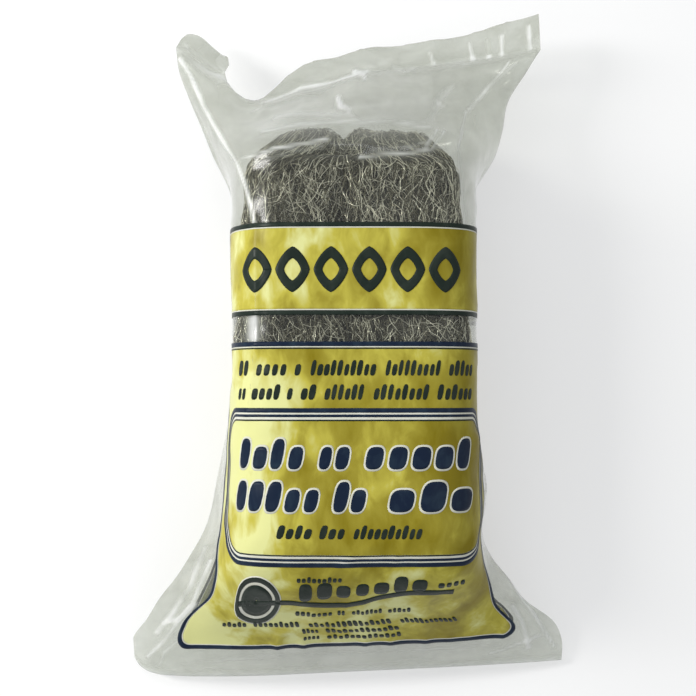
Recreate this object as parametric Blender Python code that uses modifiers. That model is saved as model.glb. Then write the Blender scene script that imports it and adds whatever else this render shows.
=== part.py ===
"""A folded hank of coarse steel wool in a clear, printed film bag, lying on its back.

+X is the pack's right side, +Y its top end with the sealed lip, and +Z its printed
front. The origin is under the middle of the pack, on the surface that it lies on.
"""

import math

import bmesh
import bpy
import numpy as np

MM = 0.001

# Steel wool: one ribbon folded to and fro, a flat S from the side
LAYERS = 3
LAYER_THICKNESS = 27.0 * MM
FOLD_GAP = 0.8 * MM
WOOL_WIDTH = 94.0 * MM
WOOL_LENGTH = 200.0 * MM
WOOL_CENTRE = (1.5 * MM, 1.0 * MM)
WOOL_EDGE_RADIUS = 18.0 * MM
FOLD_EDGE_RADIUS = 11.0 * MM
LAYER_EDGE_RADIUS = 6.0 * MM
FRONT_END_SETBACK = 20.0 * MM
BACK_END_SETBACK = 14.0 * MM
PARTING_DEPTH = 4.0 * MM
PARTING_WIDTH = 9.0 * MM
PARTING_LENGTH = 60.0 * MM
PARTING_OFFSET = -4.0 * MM
LUMP_HEIGHT = 3.0 * MM
LUMP_SPACING = 24.0 * MM
LUMP_SWAY = 2.0
LUMP_SWAY_SPACING = 84.0 * MM
FOLD_FACE_DEPTH = 18.0 * MM
FOLD_FACE_FADE = 11.0 * MM

# Film bag: a lay-flat tube, welded across both ends
FILM = 0.12 * MM
BAG_WIDTH = 200.0 * MM
SEAL_CORE = 0.16 * MM
SEAL_THICKNESS = 2 * FILM + SEAL_CORE
CONTACT_GAP = 0.3 * MM
FRONT_SLACK = 2.0 * MM
SIDE_SLACK_LEFT = 4.0 * MM
SIDE_SLACK_RIGHT = 6.5 * MM
BACK_SAG = 3.0 * MM
TOP_END = 24.0 * MM
BOTTOM_END = 48.8 * MM
WELD_HEIGHT = 14.0 * MM
SEAM_HEIGHT = 30.0 * MM
SHOULDER_SETBACK = 23.0 * MM
ANKLE_SETBACK = 20.0 * MM
BODY_BOXINESS = 4.5
FLANK_POWER = 1.5
CREASE_SHARE = 0.3

# Lip above the top seal, curled so that it spans less than the film's width
LIP_HEIGHT = 16.5 * MM
LIP_LEFT = -78.0 * MM
LIP_RIGHT = 86.0 * MM
EAR_RADIUS = 9.0 * MM
RIPPLE_HEIGHT = 1.4 * MM
RIPPLE_LENGTH = 34.0 * MM

# Notch in the lip: its lowest point, where that is across the film, and its outline from there in millimetres
NOTCH_X = -43.0 * MM
NOTCH_PLACE = -0.57
NOTCH_BELOW_SEAL = 2.8 * MM
NOTCH_SHAPE = [(-13.0, 26.0), (-11.0, 16.5), (-12.5, 12.5), (-11.0, 8.0), (-7.0, 3.0), (-2.5, 0.4), (1.5, 0.0),
               (5.5, 1.6), (10.0, 5.6), (15.5, 10.2), (23.0, 15.4), (33.0, 19.6), (44.0, 23.0), (56.0, 27.6),
               (56.0, 36.0), (-13.0, 36.0)]

# Printing, drawn flat on the front of the film
INK = 0.15 * MM
OVERPRINT_GAP = 0.25 * MM
PRINT_MARGIN = 20.5 * MM
PRINT_TOP = 51.2 * MM
UPPER_PANEL_HEIGHT = 37.7 * MM
WINDOW_HEIGHT = 10.8 * MM
CLEAR_HEM = 15.0 * MM
BORDER = 1.9 * MM
BORDER_GAP = 0.5 * MM
PANEL_CORNER = 9.0 * MM
FRAME_DROP = 26.8 * MM
FRAME_HEIGHT = 65.2 * MM
FRAME_LINE = 5.2 * MM
FRAME_MARGIN = 6.5 * MM
FRAME_CORNER = 13.0 * MM

# Facets: columns over half the film, rings between its ends, rings by millimetres from either end, lip rings
HALF_COLUMNS = 27
BODY_RINGS = 6
LOW_RINGS = [0, 4, 10, 17, 25, 33, 41, 49, 57, 65, 77]
HIGH_RINGS = [0, 3, 8, 14, 20, 26, 32, 38, 44, 51]
LIP_RINGS = [0.35, 0.7, 1.0]
SECTION_STEPS = 720
ARC_STEPS = 5
SNAP = 0.002 * MM
SAME_POINT = 0.01 * MM

# Facets of the wool: rings of a layer and a fold, rings by millimetres from a free end, columns of half a face
LAYER_RINGS = 15
FOLD_RINGS = 8
END_RINGS = [0.5, 3.0, 7.5]
FACE_COLUMNS = 4
EDGE_STEPS = 2
END_SQUARENESS = 0.9

# How far the notch's cutter reaches past the film
CUT_OVER = 10.0 * MM

# Places that follow from the sizes above
WOOL_FLOOR = FILM + CONTACT_GAP
WOOL_TOP_Z = WOOL_FLOOR + LAYERS * LAYER_THICKNESS + (LAYERS - 1) * FOLD_GAP
WOOL_HIGH_Y = WOOL_CENTRE[1] + WOOL_LENGTH / 2
WOOL_LOW_Y = WOOL_CENTRE[1] - WOOL_LENGTH / 2
SEAM_Y = WOOL_HIGH_Y + TOP_END
WELD_Y = WOOL_LOW_Y - BOTTOM_END
SHOULDER_Y = WOOL_HIGH_Y - SHOULDER_SETBACK
ANKLE_Y = WOOL_LOW_Y + ANKLE_SETBACK
FRONT_Z = WOOL_TOP_Z + FRONT_SLACK
MIDDLE_Z = 0.45 * FRONT_Z
BODY_LEFT = WOOL_CENTRE[0] - WOOL_WIDTH / 2 - SIDE_SLACK_LEFT
BODY_RIGHT = WOOL_CENTRE[0] + WOOL_WIDTH / 2 + SIDE_SLACK_RIGHT
PRINT_HALF = BAG_WIDTH / 2 - PRINT_MARGIN

# How the film widens from the wool to its flat width: distance from the end, share of the flat width
LEFT_FLARE_LOW = [(0, 1), (10, 1), (21, 0.855), (33, 0.72), (46, 0.54), (57, 0.41), (69, 0.28), (96, 0.15), (139, 0)]
RIGHT_FLARE_LOW = [(0, 1), (10, 0.99), (21, 0.88), (33, 0.57), (46, 0.37), (57, 0.19), (69, 0.09), (82, 0.13),
                   (117, 0.02), (139, 0)]
LEFT_FLARE_HIGH = [(0, 1), (10, 0.94), (20, 0.755), (30, 0.54), (40, 0.35), (47, 0.21), (55, 0.09), (77, 0.09),
                   (109, 0.01)]
RIGHT_FLARE_HIGH = [(0, 1), (10, 0.77), (20, 0.52), (30, 0.44), (40, 0.32), (47, 0.17), (55, 0)]

# How the front and back of the film close in towards each end: distance from the end, share of full height
FRONT_LOW = [(0, 0), (9, 0.12), (19, 0.27), (29, 0.45), (39, 0.64), (49, 0.82), (59, 0.94), (69, 0.99), (77, 1)]
FRONT_HIGH = [(0, 0), (7, 0.19), (15, 0.40), (25, 0.66), (33, 0.84), (41, 0.985), (47, 1)]
BACK_LOW = [(0, 1), (7, 0.62), (14, 0.30), (21, 0)]
BACK_HIGH = [(0, 1), (7, 0.70), (13, 0.42), (20, 0.16), (27, 0)]
BOXINESS_BY_END = [(0, 6.0), (4, 2.8), (12, 2.2), (30, 2.8), (45, 3.8), (58, BODY_BOXINESS)]

# How much of the widening is drawn out as thin wings beside the body: distance from the end, share
WING_LOW = [(0, 0), (12, 0.2), (30, 0.7), (50, 1), (150, 1)]
WING_HIGH = [(0, 0), (12, 0.2), (25, 0.6), (40, 1), (150, 1)]

# Course of the top seal across the film: share of the half width, then rise and wave, in millimetres
SEAM_RISE = [(-1, 13.5), (-0.8, 1.8), (-0.57, -7.6), (-0.3, -6.3), (-0.13, -3.6), (0.06, 1.8), (0.54, 6.3), (1, 9)]
SEAM_WAVE = [(-1, -6), (-0.57, 9), (-0.13, 4), (0.25, -7), (0.6, -2), (1, 8)]
LIP_LEAN = [(-1, -62), (-0.6, -55), (-0.2, -42), (0.3, -37), (0.6, -35), (1, -4)]
WELD_RISE = [(-1, -1.6), (-0.9, -2.2), (0, 0.6), (1, 4.5)]
WELD_DROOP = 9.0 * MM


def smooth_curve(points, at):
    """Cubic through the control points, level beyond both ends."""
    places, values = np.array(points, dtype=float).T
    slopes = np.gradient(values, places)
    at = np.clip(at, places[0], places[-1])
    index = np.clip(np.searchsorted(places, at) - 1, 0, len(places) - 2)
    step = places[index + 1] - places[index]
    t = (at - places[index]) / step
    return ((2 * t**3 - 3 * t**2 + 1) * values[index] + (t**3 - 2 * t**2 + t) * step * slopes[index]
            + (3 * t**2 - 2 * t**3) * values[index + 1] + (t**3 - t**2) * step * slopes[index + 1])


def ease(t):
    """Smooth step from 0 to 1."""
    t = np.clip(t, 0.0, 1.0)
    return t * t * (3.0 - 2.0 * t)


def by_end(low_points, high_points, station):
    """Value read from the end that the station is nearer to, by its distance in millimetres."""
    if station > WOOL_CENTRE[1]:
        return float(smooth_curve(high_points, (SEAM_Y - station) / MM))
    return float(smooth_curve(low_points, (station - WELD_Y) / MM))


def column_places():
    """Share of the half width for each film column: the front from left to right, then the back."""
    front = np.linspace(-1.0, 1.0, HALF_COLUMNS + 1)
    return np.concatenate([front, front[-2:0:-1]])


def section_sides(station):
    """Left and right of the body of the film's section, and how far its wings reach beyond each."""
    top = station > WOOL_CENTRE[1]
    flat_left, flat_right = (LIP_LEFT, LIP_RIGHT) if top else (-BAG_WIDTH / 2, BAG_WIDTH / 2)
    out_left = (flat_left - BODY_LEFT) * min(by_end(LEFT_FLARE_LOW, LEFT_FLARE_HIGH, station), 1)
    out_right = (flat_right - BODY_RIGHT) * min(by_end(RIGHT_FLARE_LOW, RIGHT_FLARE_HIGH, station), 1)
    wing = by_end(WING_LOW, WING_HIGH, station)
    return BODY_LEFT + out_left * (1 - wing), BODY_RIGHT + out_right * (1 - wing), out_left * wing, out_right * wing


def section_heights(station):
    """Front, back and equator of the film's section, and how boxy it is."""
    end_z = SEAM_HEIGHT if station > WOOL_CENTRE[1] else WELD_HEIGHT
    fullness = by_end(FRONT_LOW, FRONT_HIGH, station)
    closing = by_end(BACK_LOW, BACK_HIGH, station)
    front = end_z + (FRONT_Z - end_z) * fullness
    back = -BACK_SAG + (end_z + BACK_SAG) * closing
    middle = end_z + (MIDDLE_Z - end_z) * fullness
    front = max(front, middle + SEAL_THICKNESS / 2)
    back = min(back, middle - SEAL_THICKNESS / 2)
    return front, back, middle, by_end(BOXINESS_BY_END, BOXINESS_BY_END, station)


def half_section(sides, middle, height, boxiness, shares):
    """Points at equal shares of the length of a half superellipse with wings, from left to right."""
    left, right, wing_left, wing_right = sides
    angle = np.linspace(math.pi, 0.0, SECTION_STEPS + 1)
    across = np.sign(np.cos(angle)) * np.abs(np.cos(angle)) ** (2 / boxiness)
    up = np.sin(angle).clip(0) ** (2 / boxiness)
    x = (left + right) / 2 + (right - left) / 2 * across
    x += np.where(across < 0, wing_left, wing_right) * (1 - up) ** FLANK_POWER
    z = middle + height * up
    run = np.concatenate([[0], np.cumsum(np.hypot(np.diff(x), np.diff(z)))])
    at = (shares + 1) / 2 * run[-1]
    return np.interp(at, run, x), np.interp(at, run, z)


def film_ring(station, inset):
    """One ring of film points at a station along the pack, inset from the outer surface."""
    places = column_places()
    front_part = np.arange(len(places)) <= HALF_COLUMNS
    sides = section_sides(station)
    front, back, middle, boxiness = section_heights(station)
    x, z = half_section(sides, middle, front - middle, boxiness, places)
    x_back, z_back = half_section(sides, middle, back - middle, boxiness, places)
    x, z = np.where(front_part, x, x_back), np.where(front_part, z, z_back)
    run_x, run_z = np.roll(x, -1) - np.roll(x, 1), np.roll(z, -1) - np.roll(z, 1)
    run = np.hypot(run_x, run_z)
    x, z = x + inset * run_z / run, z - inset * run_x / run
    if station > WOOL_CENTRE[1]:
        share = ease((station - SHOULDER_Y) / (SEAM_Y - SHOULDER_Y))
        rise = share * smooth_curve(SEAM_RISE, places) * MM
        wave = share * smooth_curve(SEAM_WAVE, places) * MM
    else:
        share = ease((ANKLE_Y - station) / (ANKLE_Y - WELD_Y))
        rise = share * smooth_curve(WELD_RISE, places) * MM
        wave = -share * WELD_DROOP * places**2
    ring = np.column_stack([x, station + rise, np.maximum(z + wave, inset)])
    if inset:
        for crease in (0, HALF_COLUMNS):
            beside = (ring[crease - 1] + ring[crease + 1]) / 2
            ring[crease] += CREASE_SHARE * (beside - ring[crease])
    return ring


def lip_rings(seam_ring):
    """Rings from the seal to the lip's edge, square to the seal's course and leaning back.

    Each ring lies at a share of the lip's height, which shrinks round the left ear.
    """
    places = column_places()
    slope = np.gradient(smooth_curve(SEAM_RISE, places[:HALF_COLUMNS + 1]) * MM, seam_ring[:HALF_COLUMNS + 1, 0])
    slope = np.concatenate([slope, slope[-2:0:-1]])
    lean = np.radians(smooth_curve(LIP_LEAN, places))
    from_ear = (places + 1) * BAG_WIDTH / 2
    cut = EAR_RADIUS - np.sqrt(np.maximum(EAR_RADIUS**2 - (EAR_RADIUS - from_ear).clip(0) ** 2, 0))
    height = LIP_HEIGHT - cut
    ripple = RIPPLE_HEIGHT * np.sin(2 * math.pi * places * BAG_WIDTH / 2 / RIPPLE_LENGTH)
    along = np.column_stack([-slope, np.ones_like(slope), np.zeros_like(slope)])
    along /= np.linalg.norm(along, axis=1)[:, None]
    step = along * np.cos(lean)[:, None] + np.array([0, 0, 1.0]) * np.sin(lean)[:, None]
    rings = []
    for share in LIP_RINGS:
        ring = seam_ring + step * (height * share)[:, None]
        ring[:, 2] += ripple * share
        rings.append(ring)
    return rings


def stations():
    """Places along the pack where the film has a ring of points, closer together at the ends."""
    low = [WELD_Y + distance * MM for distance in LOW_RINGS]
    high = [SEAM_Y - distance * MM for distance in reversed(HIGH_RINGS)]
    body = np.linspace(low[-1], high[0], BODY_RINGS + 2)[1:-1]
    return low + list(body) + high


def film_grid():
    """Outer surface of the film, ring by ring, from the bottom weld to the lip's edge."""
    rings = [film_ring(station, 0.0) for station in stations()]
    return np.array(rings + lip_rings(rings[-1]))


def cavity_grid():
    """Inner surface of the film, between the bottom weld and the top seal."""
    return np.array([film_ring(station, FILM) for station in stations()[1:]])


def new_object(name, mesh, collection):
    """Object in a collection, from a mesh."""
    thing = bpy.data.objects.new(name, mesh)
    collection.objects.link(thing)
    return thing


def loft(name, grid, collection):
    """Closed mesh through rings of points, whose flat ends join the front to the back.

    The triangles of the back lie under those of the front, so thin ends never cross.
    """
    bm = bmesh.new()
    rows, columns = grid.shape[:2]
    verts = [[bm.verts.new(point) for point in ring] for ring in grid]
    for i in range(rows - 1):
        for j in range(columns):
            k = (j + 1) % columns
            near, next_near, far, next_far = verts[i][j], verts[i][k], verts[i + 1][j], verts[i + 1][k]
            if j < HALF_COLUMNS:
                halves = (near, next_near, far), (next_far, far, next_near)
            else:
                halves = (near, next_near, next_far), (next_far, far, near)
            for corners in halves:
                bm.faces.new(corners)
    for ring, way in ((verts[0], -1), (verts[-1], 1)):
        for j in range(HALF_COLUMNS):
            corners = [ring[j], ring[j + 1], ring[(columns - j - 1) % columns], ring[(columns - j) % columns]]
            bm.faces.new(list(dict.fromkeys(corners))[::way])
    mesh = bpy.data.meshes.new(name)
    bm.to_mesh(mesh)
    bm.free()
    return new_object(name, mesh, collection)


def outline_prism(name, points, low, high, collection):
    """Solid from a flat outline, extruded along Z between two heights."""
    bm = bmesh.new()
    base = bm.faces.new([bm.verts.new((x, y, low)) for x, y in points])
    walls = bmesh.ops.extrude_face_region(bm, geom=[base])
    moved = [part for part in walls["geom"] if isinstance(part, bmesh.types.BMVert)]
    bmesh.ops.translate(bm, verts=moved, vec=(0, 0, high - low))
    bmesh.ops.triangulate(bm, faces=bm.faces)
    bmesh.ops.recalc_face_normals(bm, faces=bm.faces)
    mesh = bpy.data.meshes.new(name)
    bm.to_mesh(mesh)
    bm.free()
    return new_object(name, mesh, collection)


def cut(target, cutter):
    """Cut the target by another object, which is kept as a hidden guide."""
    cutter.hide_render = True
    cutter.display_type = "WIRE"
    modifier = target.modifiers.new(cutter.name, "BOOLEAN")
    modifier.operation = "DIFFERENCE"
    modifier.solver = "EXACT"
    modifier.object = cutter


def finish(name, colour, roughness, metallic=0.0, alpha=1.0):
    """Principled material."""
    material = bpy.data.materials.new(name)
    material.use_nodes = True
    shader = material.node_tree.nodes["Principled BSDF"]
    shader.inputs["Base Color"].default_value = (*colour, 1.0)
    shader.inputs["Roughness"].default_value = roughness
    shader.inputs["Metallic"].default_value = metallic
    shader.inputs["Alpha"].default_value = alpha
    return material


def dress(thing, material):
    """Give an object its only material."""
    thing.data.materials.clear()
    thing.data.materials.append(material)


def notch_outline():
    """Bite in the lip: a steep left wall, a round bottom and a long ramp to the right."""
    low = SEAM_Y + float(smooth_curve(SEAM_RISE, NOTCH_PLACE)) * MM - NOTCH_BELOW_SEAL
    return [(NOTCH_X + across * MM, low + up * MM) for across, up in NOTCH_SHAPE]


def make_bag(parts, cutters):
    """Film bag: the outer pillow, less its cavity and the notch that opens it."""
    bag = loft("bag_film", film_grid(), parts)
    cavity = loft("cavity", cavity_grid(), cutters)
    notch = outline_prism("notch", notch_outline(), -CUT_OVER, FRONT_Z, cutters)
    cut(bag, cavity)
    cut(bag, notch)
    dress(bag, finish("clear_film", (0.80, 0.83, 0.80), 0.12, alpha=0.35))
    return bag


def without_repeats(points):
    """The same outline with no point twice in a row."""
    kept = []
    for point in points:
        if not kept or math.dist(point, kept[-1]) > SAME_POINT:
            kept.append(point)
    return kept


def ribbon_rings():
    """Side view of the folded ribbon: each ring's y, z and heading, and how far it lies from a free end."""
    pitch, half = LAYER_THICKNESS + FOLD_GAP, LAYER_THICKNESS / 2
    turns = (WOOL_LOW_Y + half + pitch / 2, WOOL_HIGH_Y - half - pitch / 2)
    free_ends = (WOOL_LOW_Y + BACK_END_SETBACK, WOOL_HIGH_Y - FRONT_END_SETBACK)
    ends = np.array(END_RINGS) * MM
    rings = []
    for layer in range(LAYERS):
        upward = layer % 2 == 0
        way = 1 if upward else -1
        first, last = layer == 0, layer == LAYERS - 1
        start = free_ends[not upward] if first else turns[not upward]
        end = free_ends[upward] if last else turns[upward]
        places = np.linspace(start, end, LAYER_RINGS)
        if first:
            places = np.concatenate([start + way * ends, places[1:]])
        if last:
            places = np.concatenate([places[:-1], end - way * ends[::-1]])
        level = WOOL_FLOOR + half + layer * pitch
        rings += [(y, level, 0.0 if upward else math.pi) for y in places]
        if not last:
            for turn in np.linspace(0.0, math.pi, FOLD_RINGS + 2)[1:-1]:
                rings.append((end + way * math.sin(turn) * pitch / 2, level + (1 - math.cos(turn)) * pitch / 2,
                              turn if upward else math.pi - turn))
    y, z, heading = np.array(rings).T
    run = np.concatenate([[0.0], np.cumsum(np.hypot(np.diff(y), np.diff(z)))])
    return y, z, heading, run, np.minimum(run, run[-1] - run) + ends[0]


def half_ring(half_wide, half_thick, radius):
    """Upper half of a section with round edges, from left to right: points and outward directions."""
    turn = np.linspace(math.pi, math.pi / 2, EDGE_STEPS + 1)
    arc = np.column_stack([np.cos(turn), np.sin(turn)])
    reach = half_wide - radius
    left = [-reach, half_thick - radius] + radius * arc
    face = np.concatenate([np.linspace(-reach, PARTING_OFFSET, FACE_COLUMNS + 1)[1:],
                           np.linspace(PARTING_OFFSET, reach, FACE_COLUMNS + 1)[1:-1]])
    middle = np.column_stack([face, np.full(len(face), half_thick)])
    outward = np.vstack([arc, np.tile([0.0, 1.0], (len(face), 1)), arc[::-1] * [-1, 1]])
    return np.vstack([left, middle, left[::-1] * [-1, 1]]), outward


def on_fold(y):
    """How far out a place lies on the hank's two folded ends, from 0 to 1."""
    return ease((np.abs(y - WOOL_CENTRE[1]) - WOOL_LENGTH / 2 + FOLD_FACE_DEPTH) / FOLD_FACE_FADE)


def edge_radius(y, z):
    """Radius of the ribbon's edge beside a face at this place: larger on the outside of the hank."""
    to_outside = np.minimum(WOOL_TOP_Z - z, z - WOOL_FLOOR)
    outside = 1 - ease(to_outside / LAYER_EDGE_RADIUS)
    radius = LAYER_EDGE_RADIUS + (FOLD_EDGE_RADIUS - LAYER_EDGE_RADIUS) * on_fold(y)
    return radius + (WOOL_EDGE_RADIUS - radius) * outside


def lump_depth(x, y, z, run, sideways):
    """How far the wool lies below its full form: soft lumps and the parting, on the hank's outside only."""
    wave, sway = 2 * math.pi / LUMP_SPACING, 2 * math.pi / LUMP_SWAY_SPACING
    around = x + z
    lumps = (2 + np.sin(wave * run + LUMP_SWAY * np.sin(sway * around))
             + np.sin(wave * around + LUMP_SWAY * np.sin(sway * run))) / 4
    top = ease(1 - (WOOL_TOP_Z - z) / LAYER_EDGE_RADIUS)
    outside = np.maximum(np.maximum(top, on_fold(y)), sideways**2)
    parting_low = WOOL_HIGH_Y - FRONT_END_SETBACK - PARTING_LENGTH
    parting = np.exp(-((x - PARTING_OFFSET) / PARTING_WIDTH * 2) ** 2) * ease((y - parting_low) / LUMP_SPACING)
    return (LUMP_HEIGHT * lumps + PARTING_DEPTH * parting * (1 - sideways**2)) * outside


def wool_grid():
    """Surface of the hank, ring by ring along the folded ribbon."""
    rings = []
    for y, z, heading, run, from_end in zip(*ribbon_rings()):
        full = LAYER_THICKNESS / 2
        half_thick = math.sqrt(full**2 - max(full - from_end, 0.0) ** 2)
        half_wide = WOOL_WIDTH / 2 - full + half_thick
        up = np.array([-math.sin(heading), math.cos(heading)])
        radii = np.array([float(edge_radius(y + way * full * up[0], z + way * full * up[1])) for way in (1, -1)])
        radii *= min(1.0, END_SQUARENESS * 2 * half_thick / radii.sum())
        upper, upper_out = half_ring(half_wide, half_thick, radii[0])
        lower, lower_out = half_ring(half_wide, half_thick, radii[1])
        flat = np.vstack([upper, lower[::-1] * [1, -1]])
        out = np.vstack([upper_out, lower_out[::-1] * [1, -1]])
        place = np.array([y, z]) + flat[:, 1:] * up
        depth = lump_depth(flat[:, 0], place[:, 0], place[:, 1], run, out[:, 0]) * ease(from_end / full)
        flat -= depth[:, None] * out
        place = np.array([y, z]) + flat[:, 1:] * up
        rings.append(np.column_stack([WOOL_CENTRE[0] + flat[:, 0], place]))
    return np.array(rings)


def closed_tube(name, grid, collection):
    """Closed mesh round a row of rings, with a fan of triangles over each end."""
    bm = bmesh.new()
    rings = [[bm.verts.new(point) for point in ring] for ring in grid]
    columns = len(rings[0])
    for near, far in zip(rings[:-1], rings[1:]):
        for j in range(columns):
            k = (j + 1) % columns
            bm.faces.new((near[j], near[k], far[k]))
            bm.faces.new((near[j], far[k], far[j]))
    for ring, points, way in ((rings[0], grid[0], -1), (rings[-1], grid[-1], 1)):
        middle = bm.verts.new(points.mean(axis=0))
        for j in range(columns):
            bm.faces.new([ring[j], ring[(j + 1) % columns], middle][::way])
    mesh = bpy.data.meshes.new(name)
    bm.to_mesh(mesh)
    bm.free()
    return new_object(name, mesh, collection)


def make_wool(parts):
    """Wool hank: one ribbon folded to and fro, with the main lumps of its outside."""
    wool = closed_tube("steel_wool", wool_grid(), parts)
    dress(wool, finish("steel_wool", (0.16, 0.155, 0.12), 0.45, metallic=0.8))
    return wool


def without_repeats(points):
    """The same outline with no point twice in a row."""
    kept = []
    for point in points:
        if not kept or math.dist(point, kept[-1]) > SAME_POINT:
            kept.append(point)
    return kept


def rounded_rectangle(half_width, low, high, low_radius, high_radius):
    """Outline on the flat film, counter-clockwise, with round or square corners."""
    corners = [(half_width, high, high_radius, 0), (-half_width, high, high_radius, 90),
               (-half_width, low, low_radius, 180), (half_width, low, low_radius, 270)]
    points = []
    for x, y, radius, start in corners:
        cx, cy = x - math.copysign(radius, x), y - radius if y == high else y + radius
        for step in range(ARC_STEPS + 1):
            angle = math.radians(start + 90 * step / ARC_STEPS)
            points.append((cx + radius * math.cos(angle), cy + radius * math.sin(angle)))
    return without_repeats(points)


def cut_along(bm, outline, clear):
    """Cut a flat mesh along each edge of a convex outline, and clear what lies outside it."""
    for (x0, y0), (x1, y1) in zip(outline, outline[1:] + outline[:1]):
        outward = (y1 - y0, x0 - x1, 0)
        geometry = bm.verts[:] + bm.edges[:] + bm.faces[:]
        bmesh.ops.bisect_plane(bm, geom=geometry, dist=SNAP, plane_co=(x0, y0, 0), plane_no=outward,
                               clear_outer=clear)


def inside(outline, point):
    """Whether a point lies inside a convex, counter-clockwise outline."""
    edges = zip(outline, outline[1:] + outline[:1])
    return all((x1 - x0) * (point.y - y0) - (y1 - y0) * (point.x - x0) > 0 for (x0, y0), (x1, y1) in edges)


class FrontFilm:
    """The front of the film as flat triangles, and where they lie on the filled bag."""

    def __init__(self):
        """Read the film's rings, and the direction away from the film at each of their points."""
        self.rows = np.array(stations())
        self.points = film_grid()[:len(self.rows), :HALF_COLUMNS + 1]
        self.columns = np.linspace(-BAG_WIDTH / 2, BAG_WIDTH / 2, HALF_COLUMNS + 1)
        across = np.gradient(self.points, axis=1)
        along = np.gradient(self.points, axis=0)
        away = np.cross(across, along)
        self.away = away / np.linalg.norm(away, axis=2)[:, :, None]

    def flat_triangles(self, outline):
        """Flat mesh of the film's own triangles within the outline's rows and columns."""
        xs, ys = zip(*outline)
        first, last = np.searchsorted(self.rows, min(ys)) - 1, np.searchsorted(self.rows, max(ys))
        left, right = np.searchsorted(self.columns, min(xs)) - 1, np.searchsorted(self.columns, max(xs))
        bm = bmesh.new()
        verts = {(i, j): bm.verts.new((self.columns[j], self.rows[i], 0))
                 for i in range(first, last + 1) for j in range(left, right + 1)}
        for i in range(first, last):
            for j in range(left, right):
                bm.faces.new((verts[i, j], verts[i, j + 1], verts[i + 1, j]))
                bm.faces.new((verts[i + 1, j + 1], verts[i + 1, j], verts[i, j + 1]))
        return bm

    def wrapped(self, flat, height):
        """Point at a height above the film for a point drawn on it flat, exact on the film's triangles."""
        i = int(np.clip(np.searchsorted(self.rows, flat.y, side="right") - 1, 0, len(self.rows) - 2))
        j = int(np.clip(np.searchsorted(self.columns, flat.x, side="right") - 1, 0, HALF_COLUMNS - 1))
        up = (flat.y - self.rows[i]) / (self.rows[i + 1] - self.rows[i])
        over = (flat.x - self.columns[j]) / (self.columns[j + 1] - self.columns[j])
        lifted = self.points + self.away * height
        if up + over <= 1:
            start = lifted[i, j]
            return start + up * (lifted[i + 1, j] - start) + over * (lifted[i, j + 1] - start)
        start = lifted[i + 1, j + 1]
        return start + (1 - up) * (lifted[i, j + 1] - start) + (1 - over) * (lifted[i + 1, j] - start)


def print_field(name, film, outline, material, parts, hole=None, height=CONTACT_GAP):
    """Field of ink inside an outline on the film, less a hole."""
    bm = film.flat_triangles(outline)
    cut_along(bm, outline, clear=True)
    if hole:
        cut_along(bm, hole, clear=False)
        gone = [face for face in bm.faces if inside(hole, face.calc_center_median())]
        bmesh.ops.delete(bm, geom=gone, context="FACES")
    for vert in bm.verts:
        vert.co = film.wrapped(vert.co, height)
    mesh = bpy.data.meshes.new(name)
    bm.to_mesh(mesh)
    bm.free()
    field = new_object(name, mesh, parts)
    wall = field.modifiers.new("ink", "SOLIDIFY")
    wall.thickness = INK
    wall.offset = 1.0
    dress(field, material)
    return field


def make_panel(name, film, low, high, corner, yellow, navy, parts):
    """A yellow panel and the navy border round it."""
    outer = rounded_rectangle(PRINT_HALF, low, high, corner, 0)
    inner = rounded_rectangle(PRINT_HALF - BORDER, low + BORDER, high - BORDER, max(corner - BORDER, 0), 0)
    step = BORDER + BORDER_GAP
    fill = rounded_rectangle(PRINT_HALF - step, low + step, high - step, max(corner - step, 0), 0)
    print_field(f"{name}_panel_border", film, outer, navy, parts, hole=inner)
    print_field(f"{name}_panel_fill", film, fill, yellow, parts)


def make_print(parts):
    """Upper panel, lower panel and the label frame on the lower panel."""
    film = FrontFilm()
    yellow = finish("yellow_ink", (0.66, 0.60, 0.16), 0.4)
    navy = finish("navy_ink", (0.010, 0.022, 0.060), 0.35)
    upper_low = PRINT_TOP - UPPER_PANEL_HEIGHT
    lower_high = upper_low - WINDOW_HEIGHT
    make_panel("upper", film, upper_low, PRINT_TOP, 0, yellow, navy, parts)
    make_panel("lower", film, WELD_Y + CLEAR_HEM, lower_high, PANEL_CORNER, yellow, navy, parts)
    high, low = lower_high - FRAME_DROP, lower_high - FRAME_DROP - FRAME_HEIGHT
    half = PRINT_HALF - FRAME_MARGIN
    outer = rounded_rectangle(half, low, high, FRAME_CORNER, FRAME_CORNER)
    inner = rounded_rectangle(half - FRAME_LINE, low + FRAME_LINE, high - FRAME_LINE, FRAME_CORNER - FRAME_LINE,
                              FRAME_CORNER - FRAME_LINE)
    print_field("label_frame", film, outer, navy, parts, hole=inner, height=CONTACT_GAP + INK + OVERPRINT_GAP)


def main():
    """Clear the scene and build the pack."""
    for thing in list(bpy.data.objects):
        bpy.data.objects.remove(thing)
    parts = bpy.data.collections.new("steel_wool_bundle")
    cutters = bpy.data.collections.new("cutters")
    for collection in (parts, cutters):
        bpy.context.scene.collection.children.link(collection)
    make_bag(parts, cutters)
    make_wool(parts)
    make_print(parts)


main()
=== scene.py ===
"""Scene of a folded hank of coarse steel wool in a clear, printed film bag, lying on its back.

Lengths in the classes are millimetres, and turn into metres as each mesh is made. +X is the
pack's right side, +Y its sealed top end and +Z its printed front. A point on the film is given
either in space or drawn flat: flat x runs from the left crease to the right one, -100 to 100,
and flat y is the station along the pack.
"""

import logging
import math
from dataclasses import dataclass, field
from enum import Enum

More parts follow.
